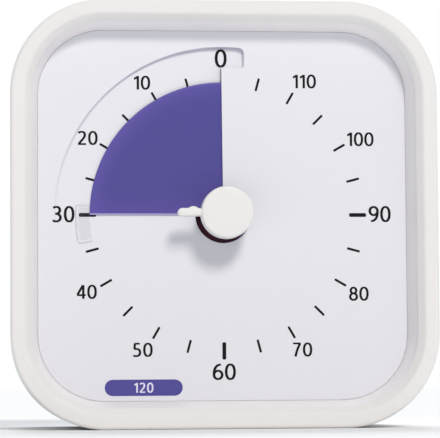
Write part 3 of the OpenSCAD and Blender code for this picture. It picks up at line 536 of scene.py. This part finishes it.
# Distance from the centre to the plate's outline at a turn: the side, or the corner's circle
def outlineReach(turn, half, radius):
    a = np.radians(turn)
    x, y = np.abs(np.sin(a)), np.abs(np.cos(a))
    side = half / np.maximum(x, y)
    inner = half - radius
    along = inner * (x + y)
    corner = along + np.sqrt(np.maximum(along ** 2 - 2 * inner ** 2 + radius ** 2, 0))
    return np.where(np.minimum(x, y) * side > inner, corner, side)


# Turns of the plate's columns, from slot round to slot, close together there and at the pocket's end
def dialTurns(d):
    pocketEnd, slotEnd = 360 - d["pocketTurn"], 360 + d["slotTurn"]
    turns = np.concatenate([d["slotTurn"] + np.array([0, 0.35, 0.9, 1.6]),
                            np.arange(2.5, d["rampTurn"], 1.5), np.arange(d["rampTurn"], 350, 2),
                            np.arange(pocketEnd - 1.9, pocketEnd + 2.4, 0.11),
                            np.arange(354.6, 359.4, 0.6), slotEnd - np.array([0.6, 0.3, 0.1, 0])])
    return np.unique(np.round(turns, 4))


# Radii of the plate's rows from the hole to just outside the ramp, close together at the hole's rounding
# and at both walls of the band
def dialRows(d):
    fillet = d["hole"] + d["holeRound"] * (1 - np.cos(np.linspace(0, np.pi / 2, 5)))
    low, high = d["slotRadius"], d["rampRadius"]
    near = np.array([0, 0.04, 0.08, 0.13, 0.19, 0.25, 0.31, 0.37, 0.43, 0.52, 0.65, 0.8, 1.0, 1.25])
    rows = np.concatenate([fillet, np.linspace(6.6, low - 1, 14), [low - 0.4, low - 0.02], low + near,
                           np.linspace(low + 1.6, high - 1.6, 3), high - near[::-1],
                           [high + 0.02, high + 0.5]])
    return np.unique(np.round(rows, 4))


# Faces of a plate whose front and back are n rows by so many columns. The rows below split are open at the
# seam, where the slot is, so they get two end walls, and a plug closes the slot at its outer end.
def plateFaces(n, columns, split):
    size = n * columns
    faces = gridFaces(n, columns)
    seam = gridFaces(n, columns, wrapColumns=True).reshape(n - 1, columns, 4)[split:, -1]
    under = np.concatenate([faces, seam])[:, ::-1] + size
    first = np.arange(split) * columns
    end = first + columns - 1
    startWall = np.stack([first, first + columns, first + columns + size, first + size], axis=1)
    endWall = np.stack([end, end + size, end + columns + size, end + columns], axis=1)
    k = split * columns
    plug = np.array([[k + columns - 1, k, k + size, k + columns - 1 + size]])
    inner = np.arange(columns - 1)
    holeWall = np.stack([inner, inner + 1, inner + 1 + size, inner + size], axis=1)
    rim = (n - 1) * columns + np.arange(columns)
    rimNext = (n - 1) * columns + (np.arange(columns) + 1) % columns
    rimWall = np.stack([rim, rim + size, rimNext + size, rimNext], axis=1)
    return np.concatenate([faces, seam, under, startWall, endWall, plug, holeWall, rimWall])


# Polar plate: rows of radius by columns of turn, front at minus the depth, back flat at the thickness.
# Inside the slot's radius, behind the face, it thins towards the slot as the disc's way climbs.
def makeDial(d):
    turns, rows = dialTurns(d), dialRows(d)
    columns, last = len(turns), rows[-1]
    signed = np.where(turns > 180, turns - 360, turns)
    reach = outlineReach(signed, d["half"], d["cornerRadius"])[None]
    quarter = np.linspace(0, np.pi / 2, 5)[:, None]
    margin = np.array([[0.3], [0.6], [0.85]])
    radius = np.concatenate([np.broadcast_to(rows[:, None], (len(rows), columns)),
                             last + (reach - d["edgeRound"] - last) * margin,
                             reach - d["edgeRound"] * (1 - np.sin(quarter))])
    turn = np.broadcast_to(signed[None], radius.shape)
    # The last column stands on the face's side of the slot, so it is read a hair before the slot
    depth, wall = dialDepth(radius, turn - 1e-6 * (turns > 180), d)
    holeGap = np.clip(d["holeRound"] - (radius - d["hole"]), 0, d["holeRound"])
    front = -depth - d["holeRound"] + np.sqrt(d["holeRound"] ** 2 - holeGap ** 2)
    front[-5:] -= d["edgeRound"] * (1 - np.cos(quarter))
    behindSlot = np.where(turns > 360 - d["reliefTurn"], np.minimum(turns - 360, 0), 1.0)[None]
    thin = -d["skin"] + (d["thickness"] - d["skin"]) * behindSlot / d["reliefTurn"]
    n, split = len(radius), int(np.searchsorted(rows, d["slotRadius"] - 0.001))
    inSlot = (np.arange(n) < split)[:, None] & (behindSlot <= 0)
    behind = np.where(inSlot, thin, -d["thickness"])
    points = np.concatenate([atTurn(radius, turn, z).reshape(-1, 3) for z in (front, behind)])
    uv = np.zeros((len(points), 2))
    # The wall share is the mask of the painted shade on the recess walls, read by the dial's coat
    uv[:n * columns, 0] = wall.ravel()
    return makePiece("dial_face", points, plateFaces(n, columns, split), uv=uv, angle=28, merge=1e-8)


fit(makeDial(dialShape), "case", "white_plastic", coat="dial", replaces=["dial_plate"])


print("dial prints")
printShape = {"minuteTurn": 3.0, "tickAt": 28.37, "minor": (2.78, 0.49), "major": (3.6, 0.8),
              "lift": 0.022, "sink": 0.02}
# Digits in a box one unit high: strokes as Bezier chains, loops as (centre, half width, half height, power),
# where a power of 2 is an ellipse and a greater one is squarer. Widths are in heights.
digitStrokes = {
    "0": [("loop", (0.32, 0.5), 0.245, 0.444, 2.25)],
    "1": [[(0.02, 0.775), (0.12, 0.82), (0.2, 0.87), (0.27, 0.945)],
          [(0.285, 0.985), (0.285, 0.6), (0.285, 0.3), (0.285, 0.0)]],
    "2": [[(0.06, 0.855), (0.14, 0.92), (0.21, 0.944), (0.29, 0.944), (0.43, 0.944), (0.50, 0.86),
           (0.50, 0.735), (0.50, 0.54), (0.34, 0.40), (0.085, 0.075)],
          [(0.03, 0.056), (0.2, 0.056), (0.4, 0.056), (0.585, 0.056)]],
    "3": [[(0.07, 0.885), (0.15, 0.93), (0.21, 0.944), (0.28, 0.944), (0.42, 0.944), (0.48, 0.86),
           (0.48, 0.745), (0.48, 0.61), (0.38, 0.525), (0.19, 0.525)],
          [(0.20, 0.525), (0.42, 0.525), (0.515, 0.42), (0.515, 0.295), (0.515, 0.14), (0.40, 0.056),
           (0.25, 0.056), (0.17, 0.056), (0.10, 0.075), (0.045, 0.115)]],
    "4": [[(0.43, 0.96), (0.3, 0.74), (0.18, 0.52), (0.055, 0.29)],
          [(0.03, 0.265), (0.2, 0.265), (0.4, 0.265), (0.62, 0.265)],
          [(0.455, 0.985), (0.455, 0.65), (0.455, 0.3), (0.455, 0.0)]],
    "5": [[(0.15, 0.944), (0.26, 0.944), (0.38, 0.944), (0.50, 0.944)],
          [(0.165, 0.965), (0.155, 0.82), (0.145, 0.68), (0.135, 0.535)],
          [(0.125, 0.55), (0.17, 0.565), (0.21, 0.57), (0.25, 0.57), (0.42, 0.57), (0.515, 0.465),
           (0.515, 0.315), (0.515, 0.15), (0.40, 0.056), (0.24, 0.056), (0.17, 0.056), (0.11, 0.07),
           (0.05, 0.105)]],
    "6": [[(0.50, 0.935), (0.26, 0.955), (0.085, 0.75), (0.085, 0.35)],
          ("loop", (0.325, 0.31), 0.24, 0.254, 2)],
    "7": [[(0.05, 0.944), (0.2, 0.944), (0.4, 0.944), (0.575, 0.944)],
          [(0.545, 0.95), (0.40, 0.66), (0.27, 0.36), (0.215, 0.0)]],
    "8": [("loop", (0.32, 0.735), 0.19, 0.209, 2), ("loop", (0.32, 0.29), 0.235, 0.234, 2)],
    "9": [[(0.145, 0.065), (0.385, 0.045), (0.56, 0.25), (0.56, 0.65)],
          ("loop", (0.32, 0.69), 0.24, 0.254, 2)]}
digitWidth = dict.fromkeys(digitStrokes, 0.64) | {"1": 0.40}
# A number's height, the weight of its strokes as a share of the height, and its stretch sideways
smallNumber = (2.9, 0.172, 1.05)
largeNumber = (3.38, 0.165, 1.0)
# Numbers: text, box centre x and y, and size
numberPlaces = [("0", -0.22, 33.06, (3.8, 0.165, 1.02)), ("10", -16.87, 27.8, smallNumber),
                ("20", -28.3, 16.1, smallNumber), ("30", -33.42, 0.15, largeNumber),
                ("40", -28.6, -16.0, smallNumber), ("50", -17.05, -28.07, smallNumber),
                ("60", -0.06, -32.71, (3.38, 0.165, 1.05)), ("70", 16.38, -28.18, smallNumber),
                ("80", 28.43, -16.55, smallNumber), ("90", 33.04, 0.2, (3.36, 0.165, 1.02)),
                ("100", 29.1, 16.0, smallNumber), ("110", 17.32, 28.18, smallNumber)]


# Face height under a print: minus the depth at its own radius and turn
def faceHeight(x, y):
    turn = np.degrees(np.arctan2(-x, y))
    return -dialDepth(np.hypot(x, y), turn, dialShape)[0]


# Unit directions along a line, (next - previous) / its length
def headings(line, closed):
    if closed:
        along = np.roll(line, -1, axis=0) - np.roll(line, 1, axis=0)
    else:
        along = np.gradient(line, axis=0)
    return along / np.linalg.norm(along, axis=1, keepdims=True)


# Stroke as a closed bar on the face: centre line c, sides at c +- w n, ends rounded by a quarter ellipse
# that is roundness times w long
def stroke(centre, halfWidth, roundness, closed=False, layer=0.0):
    c = np.asarray(centre, dtype=float)
    w = np.broadcast_to(np.asarray(halfWidth, dtype=float), len(c)).copy()
    along = headings(c, closed)
    if not closed:
        swing = np.linspace(0, np.pi / 2, 5)
        shrink, tip = 1 - roundness + roundness * np.sin(swing), np.cos(swing) * roundness
        startC = c[0] + along[0] * w[0] * (roundness - tip)[:, None]
        endC = c[-1] - along[-1] * w[-1] * (roundness - tip)[::-1, None]
        inside = slice(1, -1)
        far = np.linalg.norm(c[inside] - c[0], axis=1) > w[0] * roundness
        far &= np.linalg.norm(c[inside] - c[-1], axis=1) > w[-1] * roundness
        c = np.concatenate([startC, c[inside][far], endC])
        w = np.concatenate([w[0] * shrink, w[inside][far], w[-1] * shrink[::-1]])
        along = np.concatenate([np.repeat(along[:1], len(swing), axis=0), along[inside][far],
                                np.repeat(along[-1:], len(swing), axis=0)])
    side = np.stack([-along[:, 1], along[:, 0]], axis=1) * w[:, None]
    left, right = c + side, c - side
    ring = np.stack([left, left, right, right], axis=1)
    ground = faceHeight(ring[..., 0], ring[..., 1])
    high = printShape["lift"] + layer
    lift = np.array([-printShape["sink"], high, high, -printShape["sink"]])
    points = np.concatenate([ring, (ground + lift)[..., None]], axis=-1)
    faces = gridFaces(len(c), 4, wrapRows=closed, wrapColumns=True).tolist()
    if not closed:
        last = 4 * len(c)
        faces += [[0, 1, 2, 3], [last - 1, last - 2, last - 3, last - 4]]
    return points, faces


# Centre line of a digit's stroke and whether it closes: (a |cos t|^(2/p), b |sin t|^(2/p)) or its Bezier
def digitLine(line):
    if line[0] != "loop":
        return bezier(line), False
    _, centre, halfWide, halfTall, power = line
    t = np.linspace(0, 2 * np.pi, 40, endpoint=False)
    wave = np.stack([np.cos(t), np.sin(t)], axis=1)
    return np.sign(wave) * np.abs(wave) ** (2 / power) * [halfWide, halfTall] + centre, True


# Digits side by side about a centre. Strokes are full width where they run up, and 0.75 of it across. Each
# stroke of a digit lies a little over the one before, so no two fronts coincide.
def number(text, x, y, size, gap=0.09):
    height, weight, stretch = size
    widths = [digitWidth[digit] for digit in text]
    total = sum(widths) + gap * (len(text) - 1)
    at, parts = -total / 2, []
    for digit, width in zip(text, widths):
        for index, line in enumerate(digitStrokes[digit]):
            unit, closed = digitLine(line)
            slope = headings(unit, closed)
            half = weight / 2 * (0.75 + 0.25 * np.abs(slope[:, 1]))
            place = (unit + [at, -0.5]) * [height * stretch, height] + [x, y]
            parts.append(stroke(place, half * height, 0.2, closed=closed, layer=0.001 * index))
        at += width + gap
    return parts


# A print rides on the case and wears its ink's coat
def printed(name, points, faces, coat):
    fit(makePiece(name, points, faces), "case", "white_plastic", coat=coat)


def makePrints(p):
    ticks = []
    for minute in range(5, 120, 5):
        length, width = p["major"] if minute % 30 == 0 else p["minor"]
        reach = p["tickAt"] + length * np.linspace(0.5, -0.5, 5)
        ticks.append(stroke(atTurn(reach, minute * p["minuteTurn"])[:, :2], width / 2, 0.7))
    numbers = []
    for text, x, y, size in numberPlaces:
        numbers += number(text, x, y, size)
    printed("minute_ticks", *joined(ticks), "ink")
    printed("minute_numbers", *joined(numbers), "ink")


makePrints(printShape)

pillShape = {"centre": (-16.83, -35.9), "size": (16.25, 3.38), "number": (2.05, 0.17, 1.0)}


# Pill: two half circles joined by sides, a flat closed slab with its number on top
def makePill(p):
    (x, y), (width, height) = p["centre"], p["size"]
    line = np.stack([np.linspace(x - width / 2 + 0.01, x + width / 2 - 0.01, 40), np.full(40, y)], axis=1)
    printed("pill_print", *stroke(line, height / 2, 0.98), "purple ink")
    points, faces = joined(number("120", x, y, p["number"], gap=0.13))
    points[:, 2] += printShape["lift"]
    printed("pill_number", points, faces, "pale ink")


makePill(pillShape)


print("disc and knob")
discShape = {"setTurn": 90, "turn": 358, "lead": 2.6, "mid": -0.525, "hub": 5.7, "radius": 27.94,
             "film": 0.2, "leafInner": 3.3, "leafTurn": 8, "tabReach": 2.98, "tabLag": 4, "tabLead": 11.35,
             "tabRound": 0.5, "tabBevel": 0.05, "tabLift": 0.03}


# Helix height of the film: it climbs one lead in a turn
def filmHeight(turn):
    return discShape["mid"] + discShape["lead"] * turn / 360


# Film: a closed section of radius and height carried along the turn. Its inner edge steps in towards the
# leading edge, where the film lies over the hub's shoulder. UV holds the distance behind the leading edge.
def makeDisc(d):
    back = np.arange(d["setTurn"] - d["turn"], d["setTurn"] - 2, 2.0)
    turns = np.concatenate([back, d["setTurn"] - np.array([1.6, 1.2, 0.9, 0.7, 0.5, 0.3, 0.15, 0.05, 0])])
    h = d["film"] / 2
    share = np.concatenate([[0, 0.06, 0.12], np.linspace(0.2, 1, 10)])
    step = np.clip((turns + d["leafTurn"]) / d["leafTurn"], 0, 1)
    inner = d["hub"] - (d["hub"] - d["leafInner"]) * step * step * (3 - 2 * step)
    rim = d["radius"] - np.array([1.44, 0.94, 0.64, 0.12, 0.02])
    body = inner[:, None] + (rim[0] - inner[:, None]) * share[None]
    radii = np.concatenate([body, np.broadcast_to(rim[1:], (len(turns), 4))], axis=1)
    k = radii.shape[1]
    lift = np.concatenate([np.full(k - 1, h), [h * 0.7], [0.0], [-h * 0.7], np.full(k - 1, -h)])
    loop = np.concatenate([radii, np.full((len(turns), 1), d["radius"]), radii[:, ::-1]], axis=1)
    a = np.broadcast_to(turns[:, None], loop.shape)
    points = atTurn(loop, a, filmHeight(a) + lift[None])
    uv = np.stack([np.radians(d["setTurn"] - a) * loop, loop], axis=-1).reshape(-1, 2)
    n, m = points.shape[:2]
    faces = gridFaces(n, m, wrapColumns=True).tolist()
    top = np.arange(m // 2)
    ladder = np.stack([top, top + 1, m - 2 - top, m - 1 - top], axis=1)
    faces += ladder.tolist() + (ladder[:, ::-1] + (n - 1) * m).tolist()
    return makePiece("time_disc_film", points, faces, uv=uv, merge=1e-8)


fit(makeDisc(discShape), "disc", "disc_film", replaces=["time_disc"])


# Tab: rows of turn by columns of radius, with the outer side drawn in at both ends to round the corners.
# It is thinner along its free edges, and UV holds the distance to them. It rides a hair over the film, so
# that at zero it clears the plate and its print.
def makeTab(d):
    a0, a1 = d["setTurn"] - d["tabLag"], d["setTurn"] + d["tabLead"]
    share = np.concatenate([[0, 0.008, 0.018, 0.03], np.linspace(0.05, 0.95, 37), [0.97, 0.982, 0.992, 1]])
    r0, r1 = d["radius"], d["radius"] + d["tabReach"]
    span = math.radians(a1 - a0) * (r0 + r1) / 2
    along = share * span
    ends = np.minimum(along, span - along)
    c = d["tabRound"]
    pinch = c - np.sqrt(np.maximum(c * c - np.clip(c - ends, 0, c) ** 2, 0))
    across = np.array([0, 0.05, 0.12, 0.25, 0.4, 0.55, 0.7, 0.78, 0.83, 0.88, 0.92, 0.96, 1])
    radius = r0 + (r1 - r0 - pinch[:, None]) * across[None]
    turn = np.broadcast_to((a0 + share * (a1 - a0))[:, None], radius.shape)
    edge = np.minimum(ends[:, None], (r1 - pinch[:, None]) - radius)
    h = d["film"] / 2
    bevel = np.clip(edge / d["tabBevel"], 0.4, 1)
    middle = filmHeight(turn) + d["tabLift"]
    top = atTurn(radius, turn, middle + h * bevel)
    low = atTurn(radius, turn, middle - h * bevel)
    n, m = radius.shape
    points = np.concatenate([top.reshape(-1, 3), low.reshape(-1, 3)])
    uv = np.tile(np.stack([edge, radius], axis=-1).reshape(-1, 2), (2, 1))
    faces = gridFaces(n, m)
    size = n * m
    row, col = np.arange(n - 1) * m, np.arange(m - 1)
    walls = [np.stack([row, row + size, row + m + size, row + m], axis=1),
             np.stack([row + m - 1, row + 2 * m - 1, row + 2 * m - 1 + size, row + m - 1 + size], axis=1),
             np.stack([col, col + 1, col + 1 + size, col + size], axis=1),
             np.stack([col, col + size, col + 1 + size, col + 1], axis=1) + (n - 1) * m]
    every = np.concatenate([faces, faces[:, ::-1] + size] + walls)
    return makePiece("clear_tab", points, every, uv=uv, merge=1e-8)


fit(makeTab(discShape), "disc", "clear_film", replaces=["disc_tab"])

hubShape = {"radius": 5.4, "flange": 5.76, "flangeThick": 0.3, "neck": 3.0, "low": -2.81, "high": 0.45,
            "bore": 1.55, "under": 0.13, "step": 0.1, "round": 0.1, "neckFillet": 0.2, "neckChamfer": 0.15}


# Hub: a sleeve whose shoulder climbs with the film. Each turn has its own closed section of radius and
# height: bore, back, outside, flange just under the film, neck, front. The last drops back to the first.
def makeHub(h):
    start = discShape["setTurn"] - discShape["turn"]
    almostRound, tiny = 359.6, 0.01
    turns = np.append(np.arange(start, start + discShape["turn"], 2.5), start + almostRound)
    shoulder = np.minimum(filmHeight(turns) - h["under"], h["high"] - h["step"])
    edge = shoulder - h["flangeThick"]
    section = [(h["bore"], h["high"]), (h["bore"], h["low"]), (h["radius"], h["low"]),
               (h["radius"], np.maximum(edge, h["low"] + tiny)),
               (h["flange"], np.maximum(edge + h["step"], h["low"] + 2 * tiny))]
    section += [(h["flange"] - h["round"] * (1 - np.cos(a)), shoulder - h["round"] * (1 - np.sin(a)))
                for a in np.linspace(0, np.pi / 2, 6)]
    section += [(h["neck"] + h["neckFillet"], shoulder),
                (h["neck"], np.minimum(shoulder + h["neckFillet"], h["high"] - h["neckFillet"])),
                (h["neck"], h["high"] - h["neckChamfer"]), (h["neck"] - h["neckChamfer"], h["high"])]
    r, z = [np.stack([np.broadcast_to(v, len(turns)) for v in side], axis=1) for side in zip(*section)]
    points = atTurn(r, np.broadcast_to(turns[:, None], r.shape), z)
    faces = gridFaces(*r.shape, wrapRows=True, wrapColumns=True)
    return makePiece("hub_sleeve", points, faces)


fit(makeHub(hubShape), "disc", "plum_plastic", replaces=["disc_hub"])

knobShape = {"radius": 5.4, "front": 8.85, "cap": 3.8, "round": 0.5, "bore": 1.5, "roof": 2.6, "stem": 2.4,
             "stemTo": 2.7, "dome": 0.08, "domeFrom": 3.4, "domeRound": 2.0, "pointerFrom": 3.9,
             "pointerReach": 10.23, "pointerHalf": 0.9, "neckHalf": 0.8, "neckTo": 6.0, "flareLength": 1.6,
             "pointerTip": 0.95, "tipTall": 0.72, "pointerBack": 5.9, "pointerFront": 8.4, "power": 0.42,
             "bumpAt": 6.95, "bumpLift": 0.42, "bumpLength": 0.85}


# Cap: profile from the bore round the stem, under the cap, up its side and over the front, slightly domed
def makeCap(k):
    base = k["front"] - k["cap"]
    corners = np.array([(0, base + k["roof"], 0), (k["bore"], base + k["roof"], 0.1),
                        (k["bore"], k["stemTo"], 0.1), (k["stem"], k["stemTo"], 0.15),
                        (k["stem"], base, 0.3), (k["radius"] - 0.02, base, 0.2),
                        (k["radius"], k["front"] - k["dome"], k["round"]),
                        (k["domeFrom"], k["front"] - 0.02, k["domeRound"]), (0, k["front"], 0)])
    profile = roundCorners(corners[:, :2], corners[:, 2], steps=8, closed=False)
    profile[0, 0] = profile[-1, 0] = 0
    return makePiece("knob_body", *turned(profile))


# Pointer: a section (w |cos t|^power, h |sin t|^power) along its length, w and h changing with the reach.
# One side has a bump of bumpLift exp(-|(reach - bumpAt) / bumpLength|^3), and the tip is a quarter ellipse.
def makePointer(k):
    tipFrom = k["pointerReach"] - k["pointerTip"]
    reach = np.concatenate([np.linspace(k["pointerFrom"], tipFrom - 0.05, 56),
                            tipFrom + k["pointerTip"] * np.sin(np.linspace(0.02, np.pi / 2, 12))])
    tip = np.sqrt(np.clip(1 - (np.clip(reach - tipFrom, 0, None) / k["pointerTip"]) ** 2, 0, 1))
    flare = np.clip((reach - k["neckTo"]) / k["flareLength"], 0, 1)
    neck = k["neckHalf"] + (k["pointerHalf"] - k["neckHalf"]) * flare
    bump = k["bumpLift"] * np.exp(-np.abs((reach - k["bumpAt"]) / k["bumpLength"]) ** 3)
    upper, lower = ((neck + bump) * tip)[:, None], (neck * tip)[:, None]
    t = np.linspace(0, 2 * np.pi, 28, endpoint=False)
    sx, sz = [(np.sign(wave) * np.abs(wave) ** k["power"])[None] for wave in (np.cos(t), np.sin(t))]
    across = np.where(sx > 0, upper * sx, lower * sx)
    middle = (k["pointerBack"] + k["pointerFront"]) / 2
    halfDeep = (k["pointerFront"] - k["pointerBack"]) / 2
    tall = middle + halfDeep * sz * (k["tipTall"] + (1 - k["tipTall"]) * tip[:, None])
    points = np.stack([np.broadcast_to(-reach[:, None], across.shape), across, tall], axis=-1)
    n, m = across.shape
    faces = gridFaces(n, m, wrapColumns=True).tolist()
    faces += [list(range(m)), list(range(n * m - 1, (n - 1) * m - 1, -1))]
    return makePiece("knob_pointer", points, faces)


# Knob: cap and pointer united into one closed mesh
def makeKnob(k):
    cap, pointer = makeCap(k), makePointer(k)
    join = cap.modifiers.new("join", "BOOLEAN")
    join.operation, join.object, join.solver = "UNION", pointer, "EXACT"
    bpy.context.view_layer.update()
    united = bpy.data.meshes.new_from_object(cap.evaluated_get(bpy.context.evaluated_depsgraph_get()))
    cap.modifiers.remove(join)
    cap.data = united
    bpy.data.objects.remove(pointer)
    smoothUp(united, 40)
    return cap


fit(makeKnob(knobShape), "setting_knob", "knob_plastic", replaces=["knob"])


print("softened parts")
# Width of the rounding on a part's edges, mm. A part that isn't listed has smooth shading alone.
edgeRounding = {
    "front_housing": 0.12, "back_cover": 0.2, "battery_door": 0.25, "case_screws": 0.12, "door_screw": 0.1,
    "sound_slider": 0.15, "switch_body": 0.15, "sound_board": 0.08, "board_screws": 0.1,
    "speaker_screws": 0.1, "speaker_frame": 0.15, "speaker_magnet": 0.3, "speaker_clamp": 0.1,
    "battery_cell": 0.35, "positive_contact": 0.06, "chassis_plate": 0.2, "chassis_screws": 0.1,
    "bushing_nut": 0.15, "rubber_washer": 0.1, "movement_front": 0.2, "movement_back": 0.2, "spindle": 0.06,
    "retaining_ring": 0.05, "zero_cam": 0.08, "output_wheel": 0.03, "third_wheel": 0.03,
    "second_wheel": 0.03, "rotor_pinion": 0.03, "rotor_magnet": 0.15, "stator": 0.06, "coil_core": 0.06,
    "coil_bobbin": 0.1, "coil_winding": 0.15, "circuit_board": 0.06, "control_chip": 0.12,
    "quartz_crystal": 0.35, "contact_block": 0.12, "zero_contacts": 0.03}


# A CAD part's copy: doubles merged, flat faces joined, edges rounded by a live Bevel where it has a width
def soften(node, width):
    flat, roundFrom = math.radians(0.5), math.radians(32)
    mesh = frame["nodes"][node].data.copy()
    tidy = bmesh.new()
    tidy.from_mesh(mesh)
    bmesh.ops.remove_doubles(tidy, verts=tidy.verts, dist=2e-6)
    bmesh.ops.dissolve_limit(tidy, angle_limit=flat, verts=tidy.verts, edges=tidy.edges)
    tidy.to_mesh(mesh)
    tidy.free()
    smoothUp(mesh, 30 if width else 50)
    piece = added(node + "_finished", mesh)
    if width:
        bevel = piece.modifiers.new("edges", "BEVEL")
        bevel.width, bevel.segments, bevel.limit_method = width * mm, 2, "ANGLE"
        bevel.angle_limit, bevel.harden_normals = roundFrom, True
    fit(piece, nodeBody[node], nodeSlot[node], replaces=[node])


for node in [name for name in frame["nodes"] if not frame["nodes"][name].hide_render]:
    soften(node, edgeRounding.get(node))


print("stage")
stageShape = {
    "target": (-0.71, -19.725, 43.65), "offset": (-52.5, -500.0, -35.15), "lens": 197.4, "roll": -0.40,
    "ambient": 0.387, "skyTint": (0.87, 0.935, 1.0), "floorHalf": 20000, "floorShade": 0.92,
    "lights": {
        "key": {"power": 1.66, "tint": (1.0, 0.96, 0.905), "spread": 15, "turn": 12, "rise": 35.5},
        "back": {"power": 1.5, "tint": (0.97, 0.985, 1.0), "spread": 36, "turn": 176, "rise": 57}}}


# Sky, floor, two suns and the camera. The sky lights the part by ambient and is white to rays that show it.
# Places are millimetres in the model's frame. The camera stands at target + offset and looks at the target.
def makeStage(s):
    world = bpy.data.worlds.new("studio")
    bpy.context.scene.world = world
    world.use_nodes = True
    sky = Nodes(world.node_tree)
    seen = sky.seen()
    background = world.node_tree.nodes["Background"]
    sky.feed(background.inputs["Strength"], s["ambient"] + (1 - s["ambient"]) * seen)
    sky.feed(background.inputs["Color"],
             sky.add("Mix", {"data_type": "RGBA"}, {0: seen, 6: s["skyTint"], 7: (1, 1, 1)}, output=2))

    half = s["floorHalf"]
    corners = np.array([(-half, -caseHalf, -half), (half, -caseHalf, -half),
                        (half, -caseHalf, half), (-half, -caseHalf, half)])
    floor = makePiece("floor", corners, [[0, 3, 2, 1]], outward=False)
    m = Recipe("paper floor")
    shade = s["floorShade"]
    m.finish(Base_Color=m.blend(m.noise(900), (shade,) * 3, (shade * 1.02,) * 3), Roughness=1.0,
             Specular_IOR_Level=0.0)
    floor.data.materials.append(m.material)

    target = Vector(s["target"]) * mm
    for name, light in s["lights"].items():
        turn, rise = math.radians(light["turn"]), math.radians(light["rise"])
        away = Vector((math.sin(turn) * math.cos(rise), -math.cos(turn) * math.cos(rise), math.sin(rise)))
        lamp = bpy.data.lights.new(name, "SUN")
        lamp.angle, lamp.energy, lamp.color = math.radians(light["spread"]), light["power"], light["tint"]
        lit = added(name, lamp)
        lit.location = target + away
        lit.rotation_euler = away.to_track_quat("Z", "Y").to_euler()

    camera = added("camera", bpy.data.cameras.new("camera"))
    camera.data.sensor_fit, camera.data.sensor_width, camera.data.lens = "HORIZONTAL", 36, s["lens"]
    camera.data.clip_start, camera.data.clip_end = 0.01, 100
    offset = Vector(s["offset"]) * mm
    camera.location = target + offset
    roll = Matrix.Rotation(math.radians(s["roll"]), 4, "Z")
    camera.rotation_euler = (offset.to_track_quat("Z", "Y").to_matrix().to_4x4() @ roll).to_euler()
    bpy.context.scene.camera = camera
    bpy.context.scene.view_settings.view_transform = "Standard"


makeStage(stageShape)

print("done")
